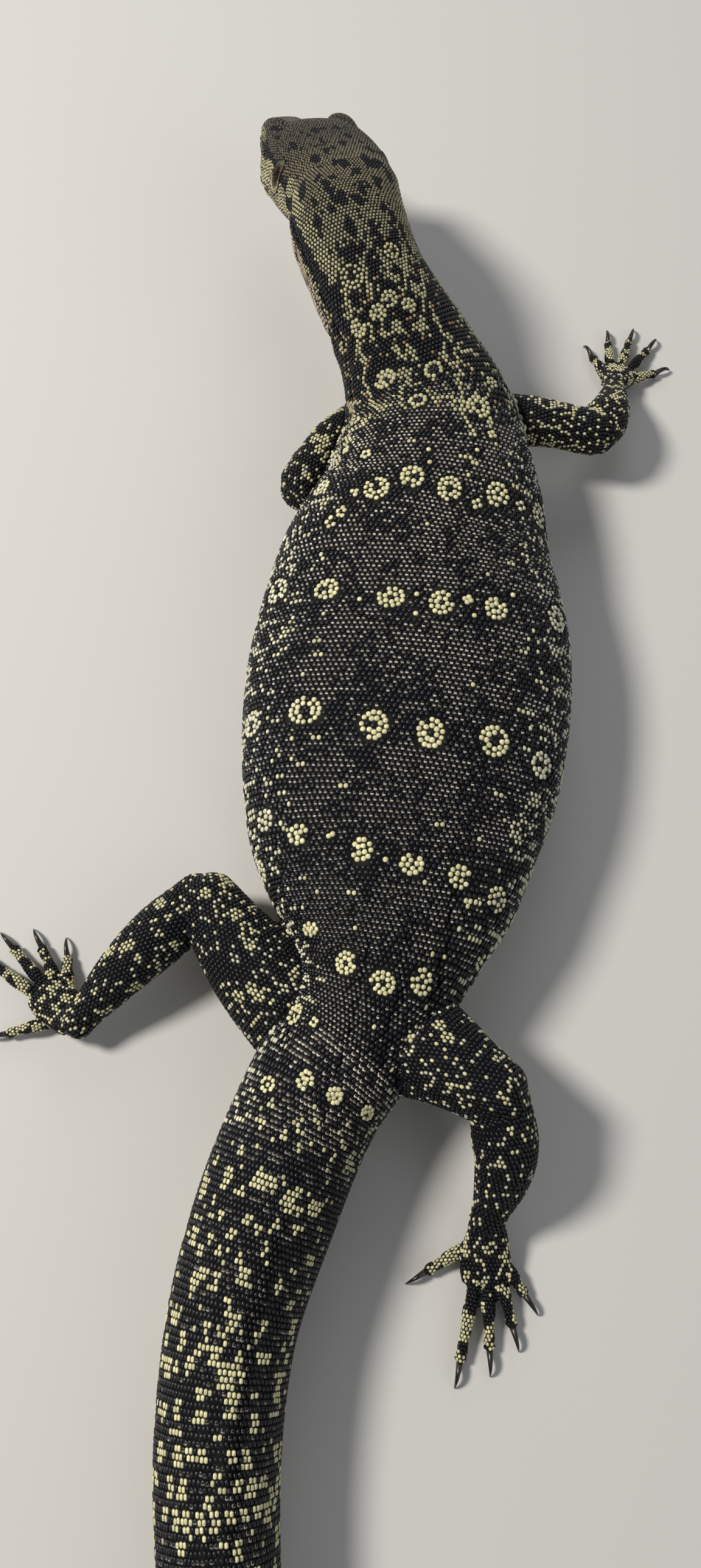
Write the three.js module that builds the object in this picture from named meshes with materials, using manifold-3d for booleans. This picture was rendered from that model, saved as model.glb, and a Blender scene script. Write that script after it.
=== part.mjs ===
// A young water monitor lizard, life size. It lies on its belly with the neck raised, the head turned
// to its left, the legs sprawled and the tail curving away behind.
// Millimetres. +Y runs from tail to head, +X is the animal's right, and the floor it lies on is z = 0.
// The origin is on the floor under the middle of the belly.
import * as THREE from "three";
import { mergeVertices } from "three/addons/utils/BufferGeometryUtils.js";
import Module from "manifold-3d";

const wasm = await Module();
wasm.setup();

const GAP = 0.3; // kept between neighbouring parts
const RAD = Math.PI / 180;
const FLESH = { color: 0x1d1d20, roughness: 0.5, metalness: 0 };
const HEAD_SKIN = { color: 0x4a4538, roughness: 0.55, metalness: 0 };
const CLAW = { color: 0x0d0c0c, roughness: 0.35, metalness: 0 };
const EYEBALL = { color: 0x0b0908, roughness: 0.1, metalness: 0 };

// Where the head meets the neck, and how the head is turned there.
const NAPE = { x: -14, y: 118, z: 38.7, yaw: 22, pitch: -22, roll: 11 };

// The body from the nape to the tip of the tail: the middle of each section, its half width, its
// height to the back and depth to the belly, how much it leans to the right and how peaked its back is.
const BODY = [
  { x: -14, y: 118, z: 38.7, wide: 13.8, up: 9, down: 11.6, lean: 11, peak: 1 }, // nape
  { x: -13.4, y: 108.5, z: 39.3, wide: 14.5, up: 9.6, down: 13.2, lean: 9, peak: 1 }, // upper neck
  { x: -8.6, y: 97, z: 34, wide: 14.3, up: 10.4, down: 12.8, lean: 6, peak: 1 }, // middle of the neck
  { x: 0.5, y: 83, z: 24.5, wide: 17, up: 12.3, down: 14.5, lean: 2, peak: 1 }, // root of the neck
  { x: 6, y: 69, z: 17, wide: 21.5, up: 15.5, down: 18.5, lean: 0, peak: 1 }, // shoulders
  { x: 6, y: 50, z: 15, wide: 26.5, up: 17.8, down: 17, lean: 0, peak: 1 }, // chest
  { x: 2.4, y: 30, z: 14.5, wide: 32.5, up: 19, down: 17, lean: 0, peak: 1 }, // ribs
  { x: 0.6, y: 8, z: 14.2, wide: 36.2, up: 19.6, down: 17, lean: 0, peak: 1 }, // widest
  { x: -1.6, y: -14, z: 14.2, wide: 35.6, up: 19.2, down: 17, lean: 0, peak: 1 }, // flanks
  { x: -3.6, y: -33, z: 14.2, wide: 32, up: 17.8, down: 16.5, lean: 0, peak: 1 }, // end of the ribs
  { x: -4.6, y: -50, z: 14, wide: 25.6, up: 16, down: 16, lean: 0, peak: 1 }, // waist
  { x: -6.6, y: -63, z: 13.6, wide: 18, up: 14.6, down: 15.5, lean: 2, peak: 1.02 }, // groin
  { x: -11, y: -74, z: 13, wide: 15.2, up: 13.6, down: 14.5, lean: 5, peak: 1.06 }, // vent
  { x: -20.5, y: -88, z: 12.4, wide: 14.4, up: 13.3, down: 13.4, lean: 12, peak: 1.12 }, // tail root
  { x: -29.6, y: -110, z: 12, wide: 14, up: 13.4, down: 13, lean: 19, peak: 1.2 },
  { x: -35.6, y: -132, z: 11.6, wide: 12.5, up: 13.2, down: 12.6, lean: 20, peak: 1.25 },
  { x: -36.8, y: -160, z: 11, wide: 11.5, up: 12.8, down: 12, lean: 19, peak: 1.3 },
  { x: -31, y: -206, z: 9.6, wide: 9.6, up: 11.8, down: 10.5, lean: 14, peak: 1.35 },
  { x: -16, y: -264, z: 7.4, wide: 7, up: 9.8, down: 8.2, lean: 8, peak: 1.35 },
  { x: 4, y: -332, z: 5.2, wide: 4.5, up: 7, down: 6, lean: 3, peak: 1.35 },
  { x: 17, y: -402, z: 3.4, wide: 2.6, up: 4.6, down: 4.1, lean: 0, peak: 1.3 },
  { x: 16, y: -458, z: 2.1, wide: 1.5, up: 2.8, down: 2.6, lean: 0, peak: 1.2 },
  { x: 5, y: -494, z: 1.1, wide: 0.7, up: 1.2, down: 1.4, lean: 0, peak: 1 }, // tip
];
const NECK_BLEND = 26; // over this length the sections turn from the head's plane to the body's own
const BODY_SIDES = 28;

// Where the body is parted, as distances along it from the nape.
const NECK_LENGTH = 52;
const VENT = 205;
const TAIL_CUTS = [VENT, 267, 340, 430, 525];

// The head in its own frame: y from the nape to the tip of the snout, z from the line of its middle.
const HEAD_LENGTH = 54;
const HEAD_SIDES = 28;
const HEAD_STEPS = 19;
const HEAD = [
  { y: 0, wide: 13.8, top: 9, bottom: 11.6 },
  { y: 5, wide: 14.3, top: 9.4, bottom: 11.1 },
  { y: 11, wide: 14.7, top: 9.9, bottom: 10.1 }, // jaw muscles
  { y: 18, wide: 14.8, top: 10.4, bottom: 9.2 },
  { y: 24, wide: 14.2, top: 10.2, bottom: 8.4 },
  { y: 30, wide: 11.4, top: 8.7, bottom: 7.6 }, // eyes
  { y: 36, wide: 8.5, top: 6.5, bottom: 6.8 },
  { y: 43, wide: 7.1, top: 4.9, bottom: 6 },
  { y: 50, wide: 6.3, top: 3.9, bottom: 5.2 }, // nostrils
  { y: 54, wide: 5.9, top: 3.2, bottom: 4.6 },
];
const SNOUT_ROUND = 7; // length over which the snout rounds to its tip
const HEAD_SQUARE = 0.74; // exponent that makes the sections a little boxy

const EYE = { x: 9.4, y: 28.7, z: 3.5, radius: 3 };
const LID_RADIUS = 3.95;
const LID_SLIT = { out: 3, along: 2.7, high: 2.1 };
const BROW = { x: 8.4, y: 27, z: 6, wide: 3.8, long: 8.2, high: 4.1 };
const EAR = { x: 14.4, y: 10.5, z: 2.2, deep: 2, along: 1.35, high: 2.7 };
const NOSTRIL = { x: 5.5, y: 48.6, z: 1.6, deep: 1.1, along: 1.25, high: 0.75 };
const MOUTH = [
  { y: 60, z: -1.7 },
  { y: 50, z: -1.7 },
  { y: 40, z: -2.3 },
  { y: 30, z: -3.4 },
  { y: 22, z: -3.7 },
  { y: 17, z: -3.2 }, // corner of the mouth
];
const JAW_BACK = { y: 13, z: -16 }; // the lower jaw is parted from the throat on this slant
const LIP = { radius: 0.85, rise: 1, sunk: 0.5 };

// Legs, from the root inside the body to the wrist or ankle: points and [place, half width, half
// thickness] of the sections.
const ARM_UPPER = [[0, 6.6, 6.6], [0.35, 6.4, 6.2], [0.7, 5.7, 5.6], [1, 5.8, 5.4]];
const ARM_LOWER = [[0, 5.2, 5.2], [0.25, 6, 5.6], [0.6, 4.4, 4.2], [0.9, 2.9, 2.7], [1, 2.9, 2.5]];
const THIGH = [[0, 13.5, 9.5], [0.4, 11, 8.4], [0.75, 8.4, 7.5], [1, 7, 6.6]];
const SHANK = [[0, 6, 6], [0.3, 6.7, 6.4], [0.65, 5.4, 5], [0.9, 3.9, 3.5], [1, 3.8, 3.3]];
const LIMB_SIDES = 14;

// Feet on the floor: the palm or sole, and each toe's root, length, angle and thickness. Toe 1 is
// the inner one, and its angles are for a right foot that points ahead, outward being positive.
const HAND = {
  palm: [[0, 2.9, 2.6, 5.4], [3, 4.2, 2.6, 4], [6.5, 4.9, 2.2, 2.5], [8.5, 4.3, 1.6, 1.9]],
  toes: [
    { x: -3.5, y: 4.8, length: 6.5, angle: -42 },
    { x: -2.4, y: 7, length: 9, angle: -18 },
    { x: 0, y: 7.8, length: 10.5, angle: 0 },
    { x: 2.3, y: 7.2, length: 10.5, angle: 17 },
    { x: 3.6, y: 5, length: 7.5, angle: 46 },
  ],
  radius: 1.45,
};
const FOOT = {
  palm: [[0, 3.6, 3, 5.8], [4, 4.6, 2.8, 4.2], [9, 5.3, 2.3, 2.7], [12, 4.6, 1.7, 2]],
  toes: [
    { x: -3.9, y: 8, length: 6.5, angle: -36 },
    { x: -2.7, y: 10, length: 9.5, angle: -16 },
    { x: -0.4, y: 11, length: 12.5, angle: -2 },
    { x: 2, y: 10.6, length: 15.5, angle: 11 },
    { x: 4, y: 5, length: 9, angle: 58 },
  ],
  radius: 1.55,
};
const CLAW_LENGTH = 4.8;
const CLAW_RADIUS = 0.85;

const LEGS = [
  {
    side: "right", out: 1, upper: "upper_arm", lower: "forearm", end: "hand", foot: HAND,
    rows: [ARM_UPPER, ARM_LOWER],
    upperPath: [[19, 73, 14], [33, 71.5, 15], [46, 70, 13]],
    lowerPath: [[47, 69.5, 12.5], [52, 79, 10], [54.9, 90.7, 5.6]],
    at: [54.9, 90.7], yaw: -20,
  },
  {
    side: "left", out: -1, upper: "upper_arm", lower: "forearm", end: "hand", foot: HAND,
    rows: [ARM_UPPER, ARM_LOWER],
    upperPath: [[-8, 73, 14], [-18, 64, 15], [-24.5, 54.5, 14]],
    lowerPath: [[-25, 54, 11.5], [-20.5, 66.5, 9], [-13.5, 78, 5.6]],
    at: [-13.5, 78], yaw: -42,
  },
  {
    side: "right", out: 1, upper: "thigh", lower: "shank", end: "foot", foot: FOOT,
    rows: [THIGH, SHANK],
    upperPath: [[-7, -73, 11], [5, -80.5, 17], [15.5, -88, 20]],
    lowerPath: [[16, -89, 19], [17, -100, 14], [14, -111, 6]],
    at: [14, -111], yaw: 178,
  },
  {
    side: "left", out: -1, upper: "thigh", lower: "shank", end: "foot", foot: FOOT,
    rows: [THIGH, SHANK],
    upperPath: [[-20, -73, 11], [-34, -60, 12.5], [-43.5, -47.5, 12]],
    lowerPath: [[-44.5, -47, 11.5], [-58, -59.5, 10.5], [-70.5, -72.5, 6]],
    at: [-70.5, -72.5], yaw: 45,
  },
];

// Curves and rings

// A smooth curve of one number through the values that it has at these places.
function smooth(places, values) {
  const last = places.length - 1;
  const slope = values.map((_, i) => {
    const [a, b] = [Math.max(i - 1, 0), Math.min(i + 1, last)];
    return (values[b] - values[a]) / (places[b] - places[a]);
  });
  return (place) => {
    let i = 0;
    while (i < last - 1 && place > places[i + 1]) i++;
    const span = places[i + 1] - places[i];
    const t = THREE.MathUtils.clamp((place - places[i]) / span, 0, 1);
    const [t2, t3] = [t * t, t * t * t];
    return (2 * t3 - 3 * t2 + 1) * values[i] + (t3 - 2 * t2 + t) * span * slope[i]
      + (3 * t2 - 2 * t3) * values[i + 1] + (t3 - t2) * span * slope[i + 1];
  };
}

// One smooth curve for each named number of the rows.
function profiles(rows, places) {
  const names = Object.keys(rows[0]);
  return Object.fromEntries(names.map((name) => [name, smooth(places, rows.map((row) => row[name]))]));
}

// The distance of each point from the first, from point to point.
function distances(points) {
  const found = [0];
  for (let i = 1; i < points.length; i++) found.push(found[i - 1] + points[i].distanceTo(points[i - 1]));
  return found;
}

function power(value, exponent) {
  return Math.sign(value) * Math.abs(value) ** exponent;
}

// A closed section: half width, height and depth from its middle, a boxiness and a peak at the top.
function outline(sides, wide, up, down, square = 1, peak = 1) {
  const points = [];
  for (let i = 0; i < sides; i++) {
    const angle = (i / sides) * 2 * Math.PI;
    const high = Math.sin(angle) > 0;
    const z = power(Math.sin(angle), high ? square * peak : square) * (high ? up : down);
    points.push([wide * power(Math.cos(angle), square), z]);
  }
  return points;
}

// Sets a section upright across a forward direction. It leans to the right by lean degrees.
function place(section, middle, forward, lean = 0) {
  const right = new THREE.Vector3().crossVectors(forward, new THREE.Vector3(0, 0, 1)).normalize();
  const up = new THREE.Vector3().crossVectors(right, forward);
  right.applyAxisAngle(forward, lean * RAD);
  up.applyAxisAngle(forward, lean * RAD);
  return section.map(([x, z]) => middle.clone().addScaledVector(right, x).addScaledVector(up, z));
}

function onFloor(ring, floor = 0) {
  return ring.map((p) => new THREE.Vector3(p.x, p.y, Math.max(p.z, floor)));
}

// Solids

function solidOf(geometry) {
  const bare = new THREE.BufferGeometry();
  bare.setAttribute("position", geometry.getAttribute("position"));
  if (geometry.index) bare.setIndex(geometry.index);
  const merged = mergeVertices(bare, 1e-4);
  return new wasm.Manifold(new wasm.Mesh({
    numProp: 3,
    vertProperties: new Float32Array(merged.getAttribute("position").array),
    triVerts: new Uint32Array(merged.index.array),
  }));
}

// A closed skin over rings of points, with a flat end at the first and the last. The rings run
// towards the end that their sections face.
function loft(rings) {
  const sides = rings[0].length;
  const points = rings.flat();
  const faces = [];
  for (let r = 0; r + 1 < rings.length; r++) {
    for (let i = 0; i < sides; i++) {
      const [a, b] = [r * sides + i, r * sides + ((i + 1) % sides)];
      faces.push(a, b + sides, b, a, a + sides, b + sides);
    }
  }
  for (const [ring, first] of [[rings[0], 0], [rings.at(-1), points.length - sides]]) {
    const middle = points.length;
    points.push(ring.reduce((sum, p) => sum.add(p), new THREE.Vector3()).divideScalar(sides));
    for (let i = 0; i < sides; i++) {
      const [a, b] = [first + i, first + ((i + 1) % sides)];
      faces.push(...(first === 0 ? [middle, a, b] : [middle, b, a]));
    }
  }
  const geometry = new THREE.BufferGeometry();
  geometry.setAttribute("position", new THREE.Float32BufferAttribute(points.flatMap((p) => p.toArray()), 3));
  geometry.setIndex(faces);
  return solidOf(geometry);
}

function ball(at, x, y, z, rotate = 0) {
  const geometry = new THREE.SphereGeometry(1, 12, 8);
  geometry.scale(x, y, z);
  geometry.rotateX(rotate * RAD);
  geometry.translate(...at);
  return solidOf(geometry);
}

function largest(solid) {
  return solid.decompose().sort((a, b) => b.volume() - a.volume())[0];
}

function geometryOf(solid) {
  const mesh = solid.getMesh();
  const geometry = new THREE.BufferGeometry();
  geometry.setAttribute("position", new THREE.BufferAttribute(mesh.vertProperties, 3));
  geometry.setIndex(new THREE.BufferAttribute(mesh.triVerts, 1));
  return geometry;
}

const lizard = new THREE.Group();

function add(name, solid, look, parent = lizard) {
  const geometry = geometryOf(largest(solid)).toNonIndexed();
  geometry.computeVertexNormals();
  const mesh = new THREE.Mesh(mergeVertices(geometry), new THREE.MeshStandardMaterial(look));
  mesh.name = name;
  parent.add(mesh);
  return mesh;
}

// Neck, torso and tail

const bodyPoints = BODY.map((row) => new THREE.Vector3(row.x, row.y, row.z));
const bodyPlaces = distances(bodyPoints);
const bodyEnd = bodyPlaces.at(-1);
const body = profiles(BODY, bodyPlaces);
const headTurn = new THREE.Euler(NAPE.pitch * RAD, 0, NAPE.yaw * RAD, "ZXY");
const headForward = new THREE.Vector3(0, 1, 0).applyEuler(headTurn);

function bodyMiddle(s) {
  return new THREE.Vector3(body.x(s), body.y(s), body.z(s));
}

// The direction towards the head at this distance from the nape.
function bodyForward(s) {
  const step = 1.5;
  const along = bodyMiddle(Math.max(s - step, 0)).sub(bodyMiddle(Math.min(s + step, bodyEnd))).normalize();
  const own = THREE.MathUtils.smoothstep(s, 0, NECK_BLEND);
  const level = THREE.MathUtils.smoothstep(s, NECK_BLEND, NECK_LENGTH + NECK_BLEND);
  along.z *= 1 - level;
  return headForward.clone().lerp(along.normalize(), own).normalize();
}

// A section of the body, moved by shift towards the head and made larger by grow.
function bodyRing(s, shift = 0, grow = 0) {
  const forward = bodyForward(s);
  const middle = bodyMiddle(s).addScaledVector(forward, shift);
  const section = outline(
    BODY_SIDES, body.wide(s) + grow, body.up(s) + grow, body.down(s) + grow, 0.93, body.peak(s),
  );
  return onFloor(place(section, middle, forward, body.lean(s)), -grow);
}

// The body between two distances, with half a gap kept at each end.
function bodyLength(from, to, steps, grow = 0) {
  const rings = [];
  for (let i = 0; i <= steps; i++) {
    const inward = grow - GAP / 2;
    const shift = i === 0 ? inward : i === steps ? -inward : 0;
    rings.push(bodyRing(THREE.MathUtils.lerp(from, to, i / steps), shift, grow));
  }
  return loft(rings.reverse());
}

// The lengths that the body is parted into: from, to and the number of steps.
const LENGTHS = [
  ["neck", 0, NECK_LENGTH, 8],
  ["torso", NECK_LENGTH, VENT, 18],
  ...TAIL_CUTS.map((from, i) => [`tail_${i + 1}`, from, TAIL_CUTS[i + 1] ?? bodyEnd, i < 2 ? 8 : 7]),
];
const NEAR_LEGS = LENGTHS.slice(0, 3).map(([, ...length]) => length);

// Head

const head = profiles(HEAD, HEAD.map((row) => row.y));

// How far the snout has rounded off at y: 1 before its tip and 0 at the tip.
function snoutRound(y) {
  const into = Math.max(y - (HEAD_LENGTH - SNOUT_ROUND), 0) / SNOUT_ROUND;
  return Math.sqrt(Math.max(1 - into ** 2, 0));
}

function headRing(y) {
  const round = snoutRound(y);
  const section = outline(
    HEAD_SIDES, head.wide(y) * round, head.top(y) * round ** 0.6, head.bottom(y) * round ** 0.8,
    THREE.MathUtils.lerp(0.93, HEAD_SQUARE, THREE.MathUtils.smoothstep(y, 0, 12)),
  );
  return section.map(([x, z]) => new THREE.Vector3(x, y, z));
}

function headLoft() {
  const rings = [];
  for (let i = 0; i <= HEAD_STEPS; i++) {
    const t = 1 - (1 - i / HEAD_STEPS) ** 1.5;
    rings.push(headRing(i === 0 ? GAP / 2 : HEAD_LENGTH * Math.min(t, 0.996)));
  }
  return loft(rings);
}

// The side of the head at y and at a height that is below its middle.
function headSide(y, z) {
  const round = snoutRound(y);
  const sine = Math.min((-z / (head.bottom(y) * round ** 0.8)) ** (1 / HEAD_SQUARE), 1);
  return head.wide(y) * round * Math.sqrt(1 - sine ** 2) ** HEAD_SQUARE;
}

// The lip that runs round the snout beside the line of the mouth, from one corner to the other.
function lip(rise) {
  const mouth = smooth(MOUTH.map((row) => -row.y), MOUTH.map((row) => row.z));
  const half = [];
  for (let i = 0; i <= 8; i++) {
    const y = THREE.MathUtils.lerp(18, HEAD_LENGTH - 0.4, Math.sin((i / 8) * 90 * RAD));
    half.push(new THREE.Vector3(headSide(y, mouth(-y)) - LIP.sunk, y - LIP.sunk * (i / 8), mouth(-y) + rise));
  }
  const mirrored = half.map((p) => new THREE.Vector3(-p.x, p.y, p.z)).reverse();
  const path = new THREE.CatmullRomCurve3([...half, ...mirrored.filter((p) => p.x < -0.5)], false, "centripetal");
  const section = new THREE.Shape();
  section.absellipse(0, 0, LIP.radius, LIP.radius, 0, 2 * Math.PI);
  return solidOf(new THREE.ExtrudeGeometry(section, { steps: 16, curveSegments: 3, bevelEnabled: false, extrudePath: path }));
}

// The side view of the lower jaw as a slab right across the head, made larger by grow.
function jawRegion(grow) {
  const line = MOUTH.map(({ y, z }) => new THREE.Vector2(y, z + grow));
  const corner = MOUTH.at(-1);
  line.push(new THREE.Vector2(corner.y - grow, corner.z + grow));
  line.push(new THREE.Vector2(JAW_BACK.y - grow, JAW_BACK.z));
  line.push(new THREE.Vector2(MOUTH[0].y, JAW_BACK.z));
  const slab = new THREE.ExtrudeGeometry(new THREE.Shape(line), { depth: 60, bevelEnabled: false });
  slab.translate(0, 0, -30);
  slab.applyMatrix4(new THREE.Matrix4().set(0, 0, 1, 0, 1, 0, 0, 0, 0, 1, 0, 0, 0, 0, 0, 1));
  return solidOf(slab);
}

function wholeHead() {
  let solid = headLoft();
  for (const side of [-1, 1]) {
    solid = solid.add(ball([side * BROW.x, BROW.y, BROW.z], BROW.wide, BROW.long, BROW.high, -6));
    solid = solid.add(ball([side * EYE.x, EYE.y, EYE.z], LID_RADIUS, LID_RADIUS, LID_RADIUS));
  }
  solid = solid.add(lip(LIP.rise)).add(lip(-LIP.rise));
  for (const side of [-1, 1]) {
    const socket = EYE.radius + GAP;
    solid = solid.subtract(ball([side * EYE.x, EYE.y, EYE.z], socket, socket, socket));
    const slit = [side * (EYE.x + LID_RADIUS), EYE.y + 0.4, EYE.z - 0.2];
    solid = solid.subtract(ball(slit, LID_SLIT.out, LID_SLIT.along, LID_SLIT.high));
    solid = solid.subtract(ball([side * EAR.x, EAR.y, EAR.z], EAR.deep, EAR.along, EAR.high, 20));
    solid = solid.subtract(
      ball([side * NOSTRIL.x, NOSTRIL.y, NOSTRIL.z], NOSTRIL.deep, NOSTRIL.along, NOSTRIL.high, 25),
    );
  }
  return solid;
}

function addHead() {
  const group = new THREE.Group();
  group.position.set(NAPE.x, NAPE.y, NAPE.z);
  const lean = new THREE.Quaternion().setFromAxisAngle(new THREE.Vector3(0, 1, 0), NAPE.roll * RAD);
  group.quaternion.setFromEuler(headTurn).multiply(lean);
  lizard.add(group);
  const whole = wholeHead();
  add("head", whole.subtract(jawRegion(GAP)), HEAD_SKIN, group);
  add("lower_jaw", whole.intersect(jawRegion(0)), HEAD_SKIN, group);
  for (const [side, name] of [[-1, "eye_left"], [1, "eye_right"]]) {
    const eye = add(name, ball([0, 0, 0], EYE.radius, EYE.radius, EYE.radius), EYEBALL, group);
    eye.position.set(side * EYE.x, EYE.y, EYE.z);
  }
}

// Legs

// A length of leg along a bent line, with round ends, made larger by grow.
function limb(path, rows, grow) {
  const points = path.map((p) => new THREE.Vector3(...p));
  const places = distances(points);
  const [x, y, z] = ["x", "y", "z"].map((axis) => smooth(places, points.map((p) => p[axis])));
  const length = places.at(-1);
  const wide = smooth(rows.map((row) => row[0] * length), rows.map((row) => row[1] + grow));
  const thick = smooth(rows.map((row) => row[0] * length), rows.map((row) => row[2] + grow));
  const at = (s) => new THREE.Vector3(x(s), y(s), z(s));
  const steps = 6;
  const rings = [];
  for (const [end, out] of [[0, -1], [length, 1]]) {
    const forward = at(Math.min(end + 1, length)).sub(at(Math.max(end - 1, 0))).normalize();
    const caps = [80, 52, 26].map((angle) => {
      const middle = at(end).addScaledVector(forward, out * thick(end) * 0.8 * Math.sin(angle * RAD));
      const size = Math.cos(angle * RAD);
      return place(outline(LIMB_SIDES, wide(end) * size, thick(end) * size, thick(end) * size), middle, forward);
    });
    rings.push(...(out < 0 ? caps : caps.reverse()));
    if (out > 0) continue;
    for (let i = 0; i <= steps; i++) {
      const s = (i / steps) * length;
      const ahead = at(Math.min(s + 1, length)).sub(at(Math.max(s - 1, 0))).normalize();
      rings.push(place(outline(LIMB_SIDES, wide(s), thick(s), thick(s)), at(s), ahead));
    }
  }
  return loft(rings.map((ring) => onFloor(ring, -grow)));
}

// The line of a toe: it leaves the palm, arches a little and comes down to the floor.
function toeLine(toe, radius, out) {
  const angle = toe.angle * RAD;
  const side = (along) => (toe.x + Math.sin(angle) * along) * out;
  const ahead = (along) => toe.y + Math.cos(angle) * along;
  const rise = 0.9;
  return new THREE.CatmullRomCurve3([
    new THREE.Vector3(side(-2.5), ahead(-2.5), radius),
    new THREE.Vector3(side(toe.length * 0.35), ahead(toe.length * 0.35), radius + rise),
    new THREE.Vector3(side(toe.length * 0.75), ahead(toe.length * 0.75), radius + rise * 0.5),
    new THREE.Vector3(side(toe.length), ahead(toe.length), radius * 0.85),
  ], false, "centripetal");
}

// A tapering tube along a curve, with sections that swell at the joints of the toe.
function taper(curve, steps, sides, radiusAt, flat = 1) {
  const rings = [];
  for (let i = 0; i <= steps; i++) {
    const t = i / steps;
    const radius = radiusAt(t);
    rings.push(place(outline(sides, radius * flat, radius, radius), curve.getPointAt(t), curve.getTangentAt(t)));
  }
  return rings;
}

function footSolid(leg) {
  const { palm, toes, radius } = leg.foot;
  const rings = palm.map(([y, wide, thick, z]) => place(
    outline(12, wide, thick, thick + 1), new THREE.Vector3(0, y, z), new THREE.Vector3(0, 1, 0),
  ));
  let solid = loft(rings.map((ring) => onFloor(ring)));
  for (const toe of toes) {
    const knuckle = (t) => radius * (1 - 0.28 * t) * (1 + 0.1 * Math.cos(t * 4 * Math.PI));
    const tube = taper(toeLine(toe, radius, leg.out), 6, 7, knuckle);
    solid = solid.add(loft(tube.map((ring) => onFloor(ring))));
  }
  return solid;
}

// A claw that springs from the end of a toe, a gap away from it, and curves down to the floor.
function clawSolid(toe, leg) {
  const line = toeLine(toe, leg.foot.radius, leg.out);
  const [tip, ahead] = [line.getPointAt(1), line.getTangentAt(1)];
  const level = new THREE.Vector3(ahead.x, ahead.y, 0).normalize();
  const at = (along, z) => tip.clone().addScaledVector(level, along).setZ(z);
  const start = tip.clone().addScaledVector(ahead, GAP);
  const curve = new THREE.CubicBezierCurve3(
    start, start.clone().addScaledVector(ahead, CLAW_LENGTH * 0.3).setZ(tip.z + 1),
    at(CLAW_LENGTH * 0.75, tip.z + 1), at(CLAW_LENGTH, 0.2),
  );
  const rings = taper(curve, 4, 6, (t) => CLAW_RADIUS * (1 - t) ** 0.7 + 0.14, 0.75);
  rings[0] = place(outline(6, CLAW_RADIUS * 0.75, CLAW_RADIUS, CLAW_RADIUS), start, ahead);
  return loft(rings.map((ring) => onFloor(ring)));
}

// The body near the legs, made larger by the gap.
const trunk = NEAR_LEGS.map((length) => bodyLength(...length, GAP)).reduce((a, b) => a.add(b));

function addLeg(leg) {
  const upper = (grow) => limb(leg.upperPath, leg.rows[0], grow);
  const lower = (grow) => limb(leg.lowerPath, leg.rows[1], grow);
  add(`${leg.upper}_${leg.side}`, upper(0).subtract(trunk), FLESH);
  add(`${leg.lower}_${leg.side}`, lower(0).subtract(upper(GAP)).subtract(trunk), FLESH);
  const foot = new THREE.Group();
  foot.position.set(...leg.at, 0);
  foot.rotation.z = leg.yaw * RAD;
  lizard.add(foot);
  const turned = footSolid(leg).rotate(0, 0, leg.yaw).translate(...leg.at, 0);
  const cut = turned.subtract(lower(GAP)).subtract(trunk);
  add(`${leg.end}_${leg.side}`, cut.translate(-leg.at[0], -leg.at[1], 0).rotate(0, 0, -leg.yaw), FLESH, foot);
  leg.foot.toes.forEach((toe, i) => {
    add(`claw_${leg.end}_${leg.side}_${i + 1}`, clawSolid(toe, leg), CLAW, foot);
  });
}

addHead();
LENGTHS.forEach(([name, ...length]) => add(name, bodyLength(...length), FLESH));
LEGS.forEach(addLeg);

export default lizard;
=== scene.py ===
import math

import bmesh
import bpy
import numpy as np
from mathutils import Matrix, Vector, noise
from mathutils.bvhtree import BVHTree
from mathutils.kdtree import KDTree


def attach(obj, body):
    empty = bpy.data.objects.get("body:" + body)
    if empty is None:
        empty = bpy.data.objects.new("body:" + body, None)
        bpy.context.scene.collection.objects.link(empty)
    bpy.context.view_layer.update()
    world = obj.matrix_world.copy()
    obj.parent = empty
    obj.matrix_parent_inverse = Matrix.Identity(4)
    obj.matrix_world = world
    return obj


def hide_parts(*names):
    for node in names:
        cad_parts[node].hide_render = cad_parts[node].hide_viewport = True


# A young water monitor lizard, life size. One skin over the whole body carries separate scales.
# +Y runs from tail to head, +X is the animal's right and the floor is z = 0. The shapes are worked
# out in millimetres and written in metres.

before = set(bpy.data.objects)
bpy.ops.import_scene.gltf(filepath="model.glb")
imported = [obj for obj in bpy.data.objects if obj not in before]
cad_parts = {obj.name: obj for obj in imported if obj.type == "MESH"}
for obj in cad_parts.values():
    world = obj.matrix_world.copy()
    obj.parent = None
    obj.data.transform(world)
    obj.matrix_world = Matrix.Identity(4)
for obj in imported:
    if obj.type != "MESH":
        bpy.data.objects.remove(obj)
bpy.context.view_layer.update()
rng = np.random.default_rng(11)
MM = 0.001
RAD = math.pi / 180

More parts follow.
